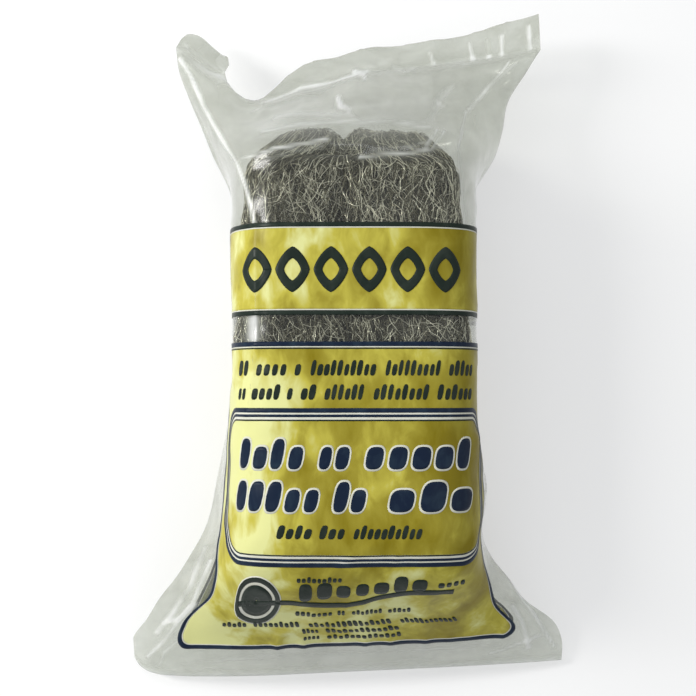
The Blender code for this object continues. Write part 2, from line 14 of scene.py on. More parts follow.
import bmesh
import bpy
import numpy as np
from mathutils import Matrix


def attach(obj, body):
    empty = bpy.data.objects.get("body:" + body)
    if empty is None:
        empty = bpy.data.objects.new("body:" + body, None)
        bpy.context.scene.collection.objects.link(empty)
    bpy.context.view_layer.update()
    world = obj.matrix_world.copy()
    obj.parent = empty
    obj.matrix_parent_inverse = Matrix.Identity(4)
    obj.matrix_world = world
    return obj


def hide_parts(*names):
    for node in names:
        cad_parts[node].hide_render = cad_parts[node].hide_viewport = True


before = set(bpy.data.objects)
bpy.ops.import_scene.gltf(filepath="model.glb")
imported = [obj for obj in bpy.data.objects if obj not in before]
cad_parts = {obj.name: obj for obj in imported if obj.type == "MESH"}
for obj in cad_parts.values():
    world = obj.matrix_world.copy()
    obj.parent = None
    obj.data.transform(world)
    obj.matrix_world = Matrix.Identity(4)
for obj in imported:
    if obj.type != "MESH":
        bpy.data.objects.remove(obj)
MM = 0.001
TINY = 1e-9
LOG = logging.getLogger("steel_wool_bundle")
Curve = list[tuple[float, float]]
Line = tuple[tuple[float, float], ...]


def smooth_curve(points: Curve, at: np.ndarray) -> np.ndarray:
    """Cubic through control points, level beyond both ends.

    Between two points the value is the Hermite cubic of their values and slopes, where each
    slope is the central difference of the neighbours.

    Args:
        points: Places in rising order, each with its value.
        at: Places to read.

    Returns:
        The values at those places.
    """
    places, values = np.array(points, dtype=float).T
    slopes = np.gradient(values, places)
    at = np.clip(at, places[0], places[-1])
    index = np.clip(np.searchsorted(places, at) - 1, 0, len(places) - 2)
    step = places[index + 1] - places[index]
    t = (at - places[index]) / step
    return ((2 * t**3 - 3 * t**2 + 1) * values[index] + (t**3 - 2 * t**2 + t) * step * slopes[index]
            + (3 * t**2 - 2 * t**3) * values[index + 1] + (t**3 - t**2) * step * slopes[index + 1])


def ease(t: np.ndarray) -> np.ndarray:
    """Smooth step from 0 to 1: three t squared less two t cubed."""
    t = np.clip(t, 0.0, 1.0)
    return t * t * (3.0 - 2.0 * t)


def unit(vectors: np.ndarray) -> np.ndarray:
    """Directions of vectors: each one divided by its length, or by a tiny number where it has none."""
    return vectors / np.maximum(np.linalg.norm(vectors, axis=-1, keepdims=True), TINY)


def running_total(steps: np.ndarray) -> np.ndarray:
    """Rows of distances from the first point: zero, then the sum of the steps up to each point."""
    return np.concatenate([np.zeros((len(steps), 1)), np.cumsum(steps, axis=1)], axis=1)


def ring_steps(grid: np.ndarray) -> np.ndarray:
    """Step along closed rings at each point: half the way from the point before to the one after."""
    return (np.roll(grid, -1, axis=1) - np.roll(grid, 1, axis=1)) / 2


def lattice_noise(points: np.ndarray, size: float, seed: int) -> np.ndarray:
    """Smooth random field between -1 and 1.

    Each corner of a cube lattice has a random value, and a point blends the eight corners of
    its cube, with an eased share in each direction.

    Args:
        points: Array whose last axis has the three coordinates.
        size: Edge of a cube.
        seed: Seed of the corner values.

    Returns:
        One value for each point.
    """
    table = np.random.default_rng(seed).uniform(-1.0, 1.0, (32, 32, 32))
    cell = points / size
    low = np.floor(cell).astype(int)
    share = ease(cell - low)
    total = np.zeros(points.shape[:-1])
    for corner in np.ndindex(2, 2, 2):
        at = (low + corner) % 32
        weight = np.prod(np.where(corner, share, 1.0 - share), axis=-1)
        total += weight * table[at[..., 0], at[..., 1], at[..., 2]]
    return total


def ridges(points: np.ndarray, size: float, seed: int) -> np.ndarray:
    """Network of sharp ridges between 0 and 1: one less the size of the noise, cubed."""
    return (1.0 - np.abs(lattice_noise(points, size, seed))) ** 3


def distance_to_line(places: np.ndarray, line: Line) -> np.ndarray:
    """Distance of flat points from a chain of straight runs.

    For each run the point's foot is its projection, held between the run's ends, and the
    nearest foot of all runs counts.

    Args:
        places: Array whose last axis has two coordinates.
        line: Corners of the chain.

    Returns:
        One distance for each point.
    """
    nearest = np.full(places.shape[:-1], np.inf)
    for start, end in zip(line[:-1], line[1:]):
        run = np.subtract(end, start)
        share = np.clip((places - start) @ run / (run @ run), 0.0, 1.0)
        foot = start + share[..., None] * run
        nearest = np.minimum(nearest, np.linalg.norm(places - foot, axis=-1))
    return nearest


def read_rows(values: np.ndarray, run: np.ndarray, at: np.ndarray) -> np.ndarray:
    """Straight interpolation in each row at once.

    Every row is shifted past the end of the one before it, so one rising table holds them all.

    Args:
        values: Rows of values.
        run: Rows of rising places for those values.
        at: Rows of places to read.

    Returns:
        Rows of values at those places.
    """
    shift = np.arange(len(run))[:, None] * (2.0 * run.max() + 1.0)
    return np.interp((at + shift).ravel(), (run + shift).ravel(), values.ravel()).reshape(at.shape)


def inside_outline(places: np.ndarray, outline: np.ndarray) -> np.ndarray:
    """Whether flat points lie inside a closed outline, by how often a ray to the right crosses it.

    Args:
        places: Array whose last axis has two coordinates.
        outline: Corners in order.

    Returns:
        True for each point inside.
    """
    inside = np.zeros(places.shape[:-1], dtype=bool)
    x, y = places[..., 0], places[..., 1]
    for (x0, y0), (x1, y1) in zip(outline, np.roll(outline, -1, axis=0)):
        if y0 != y1:
            crosses = (y0 > y) != (y1 > y)
            inside ^= crosses & (x < x0 + (y - y0) * (x1 - x0) / (y1 - y0))
    return inside


def make_object(name: str, points: np.ndarray, faces: np.ndarray | list) -> bpy.types.Object:
    """Mesh object at the origin, shaded smooth, from points in millimetres.

    Args:
        name: Name of the object.
        points: Rows of three coordinates.
        faces: Rows of point numbers, counter-clockwise seen from outside.

    Returns:
        The object, linked to the scene.
    """
    mesh = bpy.data.meshes.new(name)
    mesh.from_pydata((points * MM).tolist(), [], faces if isinstance(faces, list) else faces.tolist())
    mesh.polygons.foreach_set("use_smooth", np.ones(len(mesh.polygons), dtype=bool))
    mesh.update()
    thing = bpy.data.objects.new(name, mesh)
    bpy.context.scene.collection.objects.link(thing)
    return thing


def add_values(thing: bpy.types.Object, name: str, values: np.ndarray) -> None:
    """Store one number for each vertex as an attribute that the finish reads."""
    layer = thing.data.attributes.new(name, "FLOAT", "POINT")
    layer.data.foreach_set("value", values.astype(np.float32).ravel())


def grid_faces(rows: int, columns: int, wrap: bool = False) -> np.ndarray:
    """Quads between neighbouring points of a grid that is numbered row by row.

    Args:
        rows: Number of rows of points.
        columns: Number of points in a row.
        wrap: Whether the last column joins the first.

    Returns:
        Rows of four point numbers.
    """
    across = np.arange(columns if wrap else columns - 1)
    start = np.arange(rows - 1)[:, None] * columns
    near, far = start + across, start + (across + 1) % columns
    return np.stack([near, far, far + columns, near + columns], axis=-1).reshape(-1, 4)


def add_wall(thing: bpy.types.Object, thickness: float) -> None:
    """Give a sheet its thickness in millimetres, added on the outer side."""
    wall = thing.modifiers.new("wall", "SOLIDIFY")
    wall.thickness = thickness * MM
    wall.offset = 1.0
    wall.use_rim = True


class GridSurface:
    """Surface given by a grid of points, read anywhere between them and at any height above it."""

    def __init__(self, points: np.ndarray, row_places: np.ndarray, column_places: np.ndarray) -> None:
        """Keep the grid and work out its outward directions.

        The direction at a point is the cross product of the steps along the columns and rows.

        Args:
            points: Grid of points, rows by columns by three.
            row_places: Rising coordinate of each row.
            column_places: Rising coordinate of each column.
        """
        self.points = points
        self.row_places = row_places
        self.column_places = column_places
        self.away = unit(np.cross(np.gradient(points, axis=1), np.gradient(points, axis=0)))

    def at(self, across: np.ndarray, along: np.ndarray, height: np.ndarray | float) -> np.ndarray:
        """Points above the surface, each blended from the four grid points round it.

        Args:
            across: Coordinates along the columns' scale.
            along: Coordinates along the rows' scale.
            height: Height above the surface in millimetres.

        Returns:
            Array with a last axis of three coordinates.
        """
        row = np.interp(along, self.row_places, np.arange(len(self.row_places)))
        column = np.interp(across, self.column_places, np.arange(len(self.column_places)))
        i = np.minimum(row.astype(int), len(self.row_places) - 2)
        j = np.minimum(column.astype(int), len(self.column_places) - 2)
        up, over = (row - i)[..., None], (column - j)[..., None]
        lifted = self.points, self.away
        place, away = [(1 - up) * ((1 - over) * g[i, j] + over * g[i, j + 1])
                       + up * ((1 - over) * g[i + 1, j] + over * g[i + 1, j + 1]) for g in lifted]
        return place + unit(away) * np.asarray(height)[..., None]


@dataclass(frozen=True)
class Viewpoint:
    """Camera straight above the pack, and where a point shows in its square picture."""

    eye: tuple[float, float, float] = (0.0, -19.0, 600.0)
    picture_size: float = 696.0
    axis_place: tuple[float, float] = (348.0, 395.0)
    floor_scale: float = 0.4723

    def picture(self, points: np.ndarray) -> np.ndarray:
        """Place of points in the picture, from its top left corner.

        The offset from the eye's axis shrinks with the distance below the eye.

        Args:
            points: Array with a last axis of three coordinates in millimetres.

        Returns:
            Array with a last axis of two, across and down.
        """
        scale = self.floor_scale * (self.eye[2] - points[..., 2]) / self.eye[2]
        return np.stack([self.axis_place[0] + (points[..., 0] - self.eye[0]) / scale,
                         self.axis_place[1] - (points[..., 1] - self.eye[1]) / scale], axis=-1)

    def make_camera(self) -> None:
        """Add the camera, with a small upward shift that frames the pack as seen from this eye."""
        data = bpy.data.cameras.new("camera")
        data.lens = data.sensor_width * self.eye[2] / (self.picture_size * self.floor_scale)
        data.shift_y = (self.axis_place[1] - self.picture_size / 2) / self.picture_size
        camera = bpy.data.objects.new("camera", data)
        camera.location = [value * MM for value in self.eye]
        bpy.context.scene.collection.objects.link(camera)
        bpy.context.scene.camera = camera


class NodeGraph:
    """Short way to build a material from nodes."""

    def __init__(self, name: str) -> None:
        """Start an empty material.

        Args:
            name: Name of the material.
        """
        self.material = bpy.data.materials.new(name)
        self.material.use_nodes = True
        self.tree = self.material.node_tree
        self.tree.nodes.clear()

    def add(self, kind: str, inputs: dict | None = None, **settings: object) -> bpy.types.Node:
        """Add a node.

        Args:
            kind: Type of the node, without its ShaderNode prefix.
            inputs: Value, or node or (node, output) to link, for inputs by name or number.
            settings: Properties of the node.

        Returns:
            The node.
        """
        node = self.tree.nodes.new(f"ShaderNode{kind}")
        for key, value in settings.items():
            setattr(node, key, value)
        for key, value in (inputs or {}).items():
            if isinstance(value, bpy.types.Node):
                self.tree.links.new(value.outputs[0], node.inputs[key])
            elif isinstance(value, tuple) and isinstance(value[0], bpy.types.Node):
                self.tree.links.new(value[0].outputs[value[1]], node.inputs[key])
            else:
                node.inputs[key].default_value = value
        return node

    def place(self, stretch: tuple[float, float, float] = (1.0, 1.0, 1.0)) -> bpy.types.Node:
        """Object coordinates, stretched along each axis by a factor."""
        coordinates = self.add("TexCoord")
        return self.add("Mapping", {0: (coordinates, "Object"), "Scale": stretch})

    def noise(self, place: bpy.types.Node, scale: float, detail: float = 3.0, roughness: float = 0.55,
              distortion: float = 0.0) -> bpy.types.Node:
        """Noise texture with a scale in cycles for each metre."""
        return self.add("TexNoise", {"Vector": place, "Scale": scale, "Detail": detail,
                                     "Roughness": roughness, "Distortion": distortion})

    def ink_bump(self) -> bpy.types.Node:
        """Fine crinkle of the film below an ink, as a bump."""
        return self.add("Bump", {"Height": self.noise(self.place(), 260.0, 3.0, 0.6),
                                 "Strength": 0.12, "Distance": 0.0008})

    def ramp(self, value: bpy.types.Node, stops: list[tuple[float, tuple]]) -> bpy.types.Node:
        """Colour ramp with given stops."""
        node = self.add("ValToRGB", {0: value})
        elements = node.color_ramp.elements
        while len(elements) < len(stops):
            elements.new(1.0)
        for element, (position, colour) in zip(elements, stops):
            element.position = position
            element.color = (*colour, 1.0)
        return node

    def math(self, operation: str, *values: object, clamp: bool = False) -> bpy.types.Node:
        """Math node on numbers or nodes."""
        return self.add("Math", dict(enumerate(values)), operation=operation, use_clamp=clamp)

    def finish(self, shader: bpy.types.Node) -> bpy.types.Material:
        """Link the shader to the output.

        Args:
            shader: The last shader node.

        Returns:
            The material.
        """
        self.add("OutputMaterial", {"Surface": (shader, 0)})
        return self.material


@dataclass(frozen=True)
class ClearFilmFinish:
    """Clear polyethylene film, glossy and slightly milky, milkier where it is creased or welded, and white
    along some creases as a painted highlight.
    """

    dark_tint: tuple = (0.775, 0.785, 0.748)
    light_tint: tuple = (0.856, 0.866, 0.838)
    # Painted light and shade: drop in the film's clearness for each metre towards the lip.
    painted_shade_drop: float = -2.0
    milk: tuple = (0.64, 0.66, 0.59)
    # White of stretched film, and of the highlights painted along creases.
    stretched: tuple = (0.98, 0.99, 0.97)
    least_haze: float = 0.003
    crease_haze_and_glare: float = 1.0
    gloss_roughness: float = 0.17
    mirror_share: float = 0.022
    back_lit: float = 0.35
    smudge_gain: float = 2.4
    smudge_base: float = -0.70
    crinkle_strength: float = 0.22
    grazing_power: float = 5.0

    def material(self) -> bpy.types.Material:
        """See-through sheet with a share of milk, some of it lit from behind, under a gloss.

        The milk is grey in plain film, and white where a crease has stretched it and where a
        highlight is painted along a crease. The clear part is blotchy and, as painted light and
        shade, darker towards the lip and lighter towards the foot, where the pack's shadow falls on
        the floor below, by the painted shade drop for each metre.
        The gloss is the mirror share face on, and grows with the fifth power of the grazing
        angle's sine, the same from both sides.
        """
        graph = NodeGraph("clear_film")
        blotches = graph.noise(graph.place(), 60.0, 4.0, 0.6)
        crease = graph.add("Attribute", attribute_name="haze")
        haze = graph.math("MULTIPLY_ADD", (crease, "Fac"), self.crease_haze_and_glare,
                          graph.math("MULTIPLY", blotches, self.least_haze * 2.0), clamp=True)
        crinkle = graph.noise(graph.place((1.0, 0.55, 1.0)), 110.0, 2.0, 0.5, 0.4)
        bump = graph.add("Bump", {"Height": crinkle, "Strength": self.crinkle_strength, "Distance": 0.0010})
        along = graph.add("SeparateXYZ", {"Vector": (graph.place(), 0)})
        smudges = graph.noise(graph.place((0.6, 1.0, 1.0)), 75.0, 5.0, 0.62, 0.8)
        # Painted light and shade: clearer towards the foot, darker towards the lip, with random smudges.
        clearness_and_shade = graph.math("MULTIPLY_ADD", (along, "Y"), self.painted_shade_drop,
                               graph.math("MULTIPLY_ADD", smudges, self.smudge_gain, self.smudge_base))
        tint = graph.ramp(clearness_and_shade, [(0.1, self.dark_tint), (0.8, self.light_tint)])
        clear = graph.add("BsdfTransparent", {"Color": tint})
        # The milk turns white where the haze is high: on stretched film, and where highlights are painted along
        # creases.
        milk = graph.ramp((crease, "Fac"), [(0.25, self.milk), (0.75, self.stretched)])
        lit = graph.add("BsdfDiffuse", {"Color": milk, "Normal": bump})
        through = graph.add("BsdfTranslucent", {"Color": milk, "Normal": bump})
        milky = graph.add("MixShader", {0: self.back_lit, 1: lit, 2: through})
        body = graph.add("MixShader", {0: haze, 1: clear, 2: milky})
        gloss = graph.add("BsdfGlossy", {"Color": (1.0, 1.0, 1.0, 1.0), "Roughness": self.gloss_roughness,
                                         "Normal": bump})
        facing = graph.add("LayerWeight", {"Blend": 0.5, "Normal": bump})
        grazing = graph.math("POWER", (facing, "Facing"), self.grazing_power)
        share = graph.math("MULTIPLY_ADD", grazing, 1.0 - self.mirror_share, self.mirror_share)
        return graph.finish(graph.add("MixShader", {0: share, 1: body, 2: gloss}))


@dataclass(frozen=True)
class YellowInkFinish:
    """Yellow printing, mottled, with painted light and a painted sheen: lighter and paler towards
    the left, where the key light falls and glints.

    Fade is the drop for each metre to the right. The ink is also lighter at the foot, below the
    wool, and a little on the upper panel.
    """

    # Pale end of the ramp, reached on the lit left: a painted sheen.
    pale: tuple = (0.71, 0.715, 0.31)
    golden: tuple = (0.51, 0.455, 0.068)
    middle: tuple = (0.34, 0.288, 0.034)
    # Dull end of the ramp, reached towards the right away from the key light: painted shade as well as
    # mottling.
    dull: tuple = (0.225, 0.178, 0.008)
    fade: float = -2.1
    foot_rise: float = 0.11
    upper_rise: float = 0.035
    foot_edge: tuple[float, float] = (-0.088, -0.108)
    upper_edge: tuple[float, float] = (0.004, 0.012)
    roughness: float = 0.30
    shine: float = 0.09

    def material(self) -> bpy.types.Material:
        """Two sizes of soft mottling between the yellows, and painted light from the left, under the film's
        gloss.
        """
        graph = NodeGraph("yellow_ink")
        broad = graph.noise(graph.place((1.0, 0.7, 1.0)), 34.0, 2.5, 0.5, 0.4)
        fine = graph.noise(graph.place((1.0, 0.5, 1.0)), 150.0, 3.0, 0.55, 0.5)
        mottle_and_light = graph.math("MULTIPLY_ADD", fine, 0.35, graph.math("MULTIPLY_ADD", broad, 0.9, -0.125))
        across = graph.add("SeparateXYZ", {"Vector": (graph.place(), 0)})
        # Painted light: lighter towards the left, where the key light falls.
        mottle_and_light = graph.math("MULTIPLY_ADD", (across, "X"), self.fade, mottle_and_light)
        for near, far, rise in ((*self.foot_edge, self.foot_rise), (*self.upper_edge, self.upper_rise)):
            mottle_and_light = graph.math("ADD", mottle_and_light, graph.add("MapRange", {
                "Value": (across, "Y"), "From Min": near, "From Max": far, "To Min": 0.0, "To Max": rise}))
        colour = graph.ramp(mottle_and_light, [(0.30, self.dull), (0.46, self.middle), (0.56, self.golden),
                                    (0.68, self.pale)])
        shader = graph.add("BsdfPrincipled", {"Base Color": colour, "Roughness": self.roughness,
                                              "Normal": graph.ink_bump(), "Specular IOR Level": self.shine})
        return graph.finish(shader)


@dataclass(frozen=True)
class DarkInkFinish:
    """One dark or white ink: nearly flat, with faint wear from the crinkled film below."""

    name: str
    colour: tuple
    worn: tuple
    roughness: float = 0.34
    shine: float = 0.10

    def material(self) -> bpy.types.Material:
        """Ink colour with faint lighter wear, under the film's gloss."""
        graph = NodeGraph(self.name)
        wear = graph.noise(graph.place((1.0, 0.6, 1.0)), 120.0, 4.0, 0.6, 0.5)
        colour = graph.ramp(wear, [(0.46, self.colour), (0.72, self.worn)])
        shader = graph.add("BsdfPrincipled", {"Base Color": colour, "Roughness": self.roughness,
                                              "Normal": graph.ink_bump(), "Specular IOR Level": self.shine})
        return graph.finish(shader)


@dataclass(frozen=True)
class StrandFinish:
    """Coarse steel strands: grey brown metal, each strand with a brightness of its own: random, darker as
    painted shade where the strand lies deep, up to a near-white painted glint.
    """

    dark: tuple = (0.022, 0.020, 0.015)
    middle: tuple = (0.21, 0.195, 0.135)
    # Near-white painted glint at the top of the ramp.
    glint: tuple = (0.99, 0.96, 0.80)
    metal: float = 0.55

    def material(self) -> bpy.types.Material:
        """Metal whose colour goes from dark to the near-white painted glint by the strand's brightness and
        painted shade.
        """
        graph = NodeGraph("steel_strands")
        tone = graph.add("Attribute", attribute_name="tone")
        colour = graph.ramp((tone, "Fac"), [(0.0, self.dark), (0.50, self.middle), (0.82, self.glint)])
        specks = graph.noise(graph.place(), 900.0, 2.0)
        rough = graph.add("MapRange", {"Value": specks, "To Min": 0.12, "To Max": 0.30})
        shader = graph.add("BsdfPrincipled", {"Base Color": colour, "Metallic": self.metal,
                                              "Roughness": (rough, 0)})
        return graph.finish(shader)


@dataclass(frozen=True)
class WoolShadeFinish:
    """Painted shade inside the wool, seen between the strands: a dark colour for the shade deep in the hank,
    with streaks along the hank and small gaps.
    """

    # Painted shade: the colours of the gaps and streaks deep in the wool.
    gap: tuple = (0.015, 0.014, 0.010)
    strand: tuple = (0.125, 0.117, 0.084)

    def material(self) -> bpy.types.Material:
        """Noise drawn out along the hank, as colour and as bump."""
        graph = NodeGraph("wool_shade")
        streaks = graph.noise(graph.place((1.0, 0.28, 1.0)), 620.0, 5.0, 0.7, 1.2)
        colour = graph.ramp(streaks, [(0.42, self.gap), (0.66, self.strand)])
        bump = graph.add("Bump", {"Height": streaks, "Strength": 0.8, "Distance": 0.0012})
        shader = graph.add("BsdfPrincipled", {"Base Color": colour, "Metallic": 0.3, "Roughness": 0.55,
                                              "Normal": bump})
        return graph.finish(shader)


class Side(Enum):
    """Sheet of the bag: the printed front or the back."""

    FRONT = "front"
    BACK = "back"


@dataclass(frozen=True)
class Crease:
    """Fold in the film, placed by the line that it draws in the camera's picture.

    The film rises by height at the line, and falls off as an exponential of the distance over
    the width. A negative height is a valley. The haze whitens the film's milk and falls off as a
    bell over the spread: partly the whitening of stretched film, partly a painted highlight
    where the key light would glint along the fold.
    """

    line: Line
    height: float
    width: float
    haze: float = 0.0
    spread: float = 0.7


@dataclass(frozen=True)
class FilmForm:
    """Shape of the filled bag, from section to section between its two welds."""

    bag_width: float = 200.0
    seal_thickness: float = 0.4
    weld_y: float = -147.8
    seam_y: float = 125.0
    middle_y: float = 1.0
    shoulder_y: float = 78.0
    ankle_y: float = -79.0
    weld_height: float = 14.0
    seam_height: float = 30.0
    front_z: float = 85.02
    back_sag: float = 3.0
    body_left: float = -49.5
    body_right: float = 55.0
    lip_left: float = -78.0
    lip_right: float = 85.2
    lip_height: float = 16.5
    lip_turn: float = 0.45
    ear_radius: float = 9.0
    ripple_height: float = 1.4
    ripple_length: float = 34.0
    weld_droop: float = 9.0
    flank_power: float = 1.5
    sheet_columns: int = 160
    body_rows: int = 190
    lip_rows: int = 15
    left_flare_low: Curve = field(default_factory=lambda: [
        (0, 1), (10, 1), (21, 0.855), (33, 0.72), (46, 0.54), (57, 0.41), (69, 0.28), (96, 0.15), (139, 0)])
    right_flare_low: Curve = field(default_factory=lambda: [
        (0, 1), (10, 0.99), (21, 0.88), (33, 0.57), (46, 0.37), (57, 0.19), (69, 0.09), (82, 0.13),
        (117, 0.02), (139, 0)])
    left_flare_high: Curve = field(default_factory=lambda: [
        (0, 1), (10, 0.94), (20, 0.755), (30, 0.54), (40, 0.35), (47, 0.21), (55, 0.09), (77, 0.09),
        (109, 0.01)])
    right_flare_high: Curve = field(default_factory=lambda: [
        (0, 1), (10, 0.77), (20, 0.52), (30, 0.44), (40, 0.32), (47, 0.17), (55, 0)])
    front_low: Curve = field(default_factory=lambda: [
        (0, 0), (9, 0.12), (19, 0.27), (29, 0.45), (39, 0.64), (49, 0.82), (59, 0.94), (69, 0.99), (77, 1)])
    front_high: Curve = field(default_factory=lambda: [
        (0, 0), (7, 0.19), (15, 0.40), (25, 0.66), (33, 0.84), (41, 0.985), (47, 1)])
    back_low: Curve = field(default_factory=lambda: [(0, 1), (7, 0.62), (14, 0.30), (21, 0)])
    back_high: Curve = field(default_factory=lambda: [(0, 1), (7, 0.70), (13, 0.42), (20, 0.16), (27, 0)])
    boxiness_by_end: Curve = field(default_factory=lambda: [
        (0, 6.0), (4, 2.8), (12, 2.2), (30, 2.8), (45, 3.8), (58, 4.5)])
    flank_share_low: Curve = field(default_factory=lambda: [(0, 0), (12, 0.2), (30, 0.7), (50, 1), (150, 1)])
    flank_share_high: Curve = field(default_factory=lambda: [(0, 0), (12, 0.2), (25, 0.6), (40, 1), (150, 1)])
    seam_rise: Curve = field(default_factory=lambda: [
        (-1, 13.5), (-0.8, 0.8), (-0.7, -3.2), (-0.61, -10.0), (-0.53, -12.6), (-0.46, -12.2), (-0.33, -9.2),
        (-0.13, -4.4), (0.06, 1.3), (0.54, 6.0), (1, 8.7)])
    seam_wave: Curve = field(default_factory=lambda: [
        (-1, -6), (-0.57, 4), (-0.13, 3), (0.25, -7), (0.6, -2), (1, 8)])
    lip_lean: Curve = field(default_factory=lambda: [
        (-1, -40), (-0.8, -42), (-0.6, -45), (-0.3, -33), (-0.1, -37), (0.3, -36), (0.6, -35), (1, -4)])
    weld_rise: Curve = field(default_factory=lambda: [
        (-1, 6.0), (-0.98, 3.0), (-0.95, 0.6), (-0.9, -1.2), (-0.8, -1.9), (-0.6, -1.7), (0, 1.2), (1, 4.7)])

    @property
    def columns(self) -> int:
        """Number of points in a ring round the bag."""
        return 2 * self.sheet_columns

    def places(self) -> np.ndarray:
        """Share of the half width for each column: the front from left to right, then the back."""
        front = np.linspace(-1.0, 1.0, self.sheet_columns + 1)
        return np.concatenate([front, front[-2:0:-1]])

    def stations(self) -> np.ndarray:
        """Places of the rings between the two welds."""
        return np.linspace(self.weld_y, self.seam_y, self.body_rows)

    def by_end(self, low: Curve, high: Curve, stations: np.ndarray) -> np.ndarray:
        """Values read from the end that each station is nearer to, by its distance from that end."""
        return np.where(stations > self.middle_y, smooth_curve(high, self.seam_y - stations),
                        smooth_curve(low, stations - self.weld_y))

    def half_rings(self, stations: np.ndarray, side: Side,
                   places: np.ndarray) -> tuple[np.ndarray, np.ndarray]:
        """Front or back half of each ring, at equal shares of its length.

        A half section is a superellipse over the body's width, and its flank runs out to the
        side crease by the flare times one less the height's share, to a power.

        Args:
            stations: Place of each ring.
            side: Front or back sheet.
            places: Shares of the half width, from -1 to 1 or back.

        Returns:
            The x and the z of each ring's points.
        """
        top = stations > self.middle_y
        end_left = np.where(top, self.lip_left, -self.bag_width / 2)
        end_right = np.where(top, self.lip_right, self.bag_width / 2)
        end_z = np.where(top, self.seam_height, self.weld_height)
        out_left = (end_left - self.body_left) * np.minimum(
            self.by_end(self.left_flare_low, self.left_flare_high, stations), 1.0)
        out_right = (end_right - self.body_right) * np.minimum(
            self.by_end(self.right_flare_low, self.right_flare_high, stations), 1.0)
        flank = self.by_end(self.flank_share_low, self.flank_share_high, stations)
        fullness = self.by_end(self.front_low, self.front_high, stations)
        middle = end_z + (0.45 * self.front_z - end_z) * fullness
        if side is Side.FRONT:
            edge = np.maximum(end_z + (self.front_z - end_z) * fullness, middle + self.seal_thickness / 2)
        else:
            closing = self.by_end(self.back_low, self.back_high, stations)
            edge = np.minimum(-self.back_sag + (end_z + self.back_sag) * closing,
                              middle - self.seal_thickness / 2)
        power = (2.0 / self.by_end(self.boxiness_by_end, self.boxiness_by_end, stations))[:, None]
        angle = np.linspace(math.pi, 0.0, 721)
        across = np.sign(np.cos(angle)) * np.abs(np.cos(angle)) ** power
        up = np.sin(angle).clip(0.0) ** power
        left = (self.body_left + out_left * (1 - flank))[:, None]
        right = (self.body_right + out_right * (1 - flank))[:, None]
        reach = np.where(across < 0, (out_left * flank)[:, None], (out_right * flank)[:, None])
        x = (left + right) / 2 + (right - left) / 2 * across + reach * (1 - up) ** self.flank_power
        z = middle[:, None] + (edge - middle)[:, None] * up
        run = running_total(np.hypot(np.diff(x, axis=1), np.diff(z, axis=1)))
        at = (places[None, :] + 1) / 2 * run[:, -1:]
        return read_rows(x, run, at), read_rows(z, run, at)

    def body_grid(self) -> np.ndarray:
        """Rings of points between the welds, before creases and lumps.

        Near the top the seal rises, dips and waves across the film. Near the bottom the weld
        droops to its corners by the square of the place.
        """
        stations, places = self.stations(), self.places()
        turn = self.sheet_columns + 1
        x_front, z_front = self.half_rings(stations, Side.FRONT, places[:turn])
        x_back, z_back = self.half_rings(stations, Side.BACK, places[turn:])
        x, z = np.hstack([x_front, x_back]), np.hstack([z_front, z_back])
        top = (stations > self.middle_y)[:, None]
        high = ease((stations - self.shoulder_y) / (self.seam_y - self.shoulder_y))[:, None]
        low = ease((self.ankle_y - stations) / (self.ankle_y - self.weld_y))[:, None]
        rise = np.where(top, high * smooth_curve(self.seam_rise, places),
                        low * smooth_curve(self.weld_rise, places))
        wave = np.where(top, high * smooth_curve(self.seam_wave, places), -low * self.weld_droop * places**2)
        return np.stack([x, stations[:, None] + rise, np.maximum(z + wave, 0.0)], axis=-1)

    def lip_grid(self, seam: np.ndarray) -> np.ndarray:
        """Rings from the seal to the lip's edge, turned by a share of the seal's slope and leaning back.

        The lip's height shrinks round the left ear as a circle does, and it ripples as a sine
        that grows towards the edge.

        Args:
            seam: Ring of points at the seal.

        Returns:
            The rings after that one.
        """
        places = self.places()
        turn = self.sheet_columns + 1
        course = np.gradient(smooth_curve(self.seam_rise, places[:turn]), seam[:turn, 0])
        slope = np.concatenate([course, np.interp(-places[turn:], -places[:turn][::-1], course[::-1])])
        lean = np.radians(smooth_curve(self.lip_lean, places))
        from_ear = (places + 1) * self.bag_width / 2
        radius = self.ear_radius
        cut = radius - np.sqrt(np.maximum(radius**2 - (radius - from_ear).clip(0) ** 2, 0.0))
        ripple = self.ripple_height * np.sin(math.pi * places * self.bag_width / self.ripple_length)
        along = unit(np.column_stack([-self.lip_turn * slope, np.ones_like(slope), np.zeros_like(slope)]))
        step = along * np.cos(lean)[:, None] + np.array([0.0, 0.0, 1.0]) * np.sin(lean)[:, None]
        share = (np.arange(1, self.lip_rows + 1) / self.lip_rows)[:, None, None]
        rings = seam[None] + step[None] * (self.lip_height - cut)[None, :, None] * share
        rings[..., 2] += (ripple[None] * share[..., 0])
        return rings


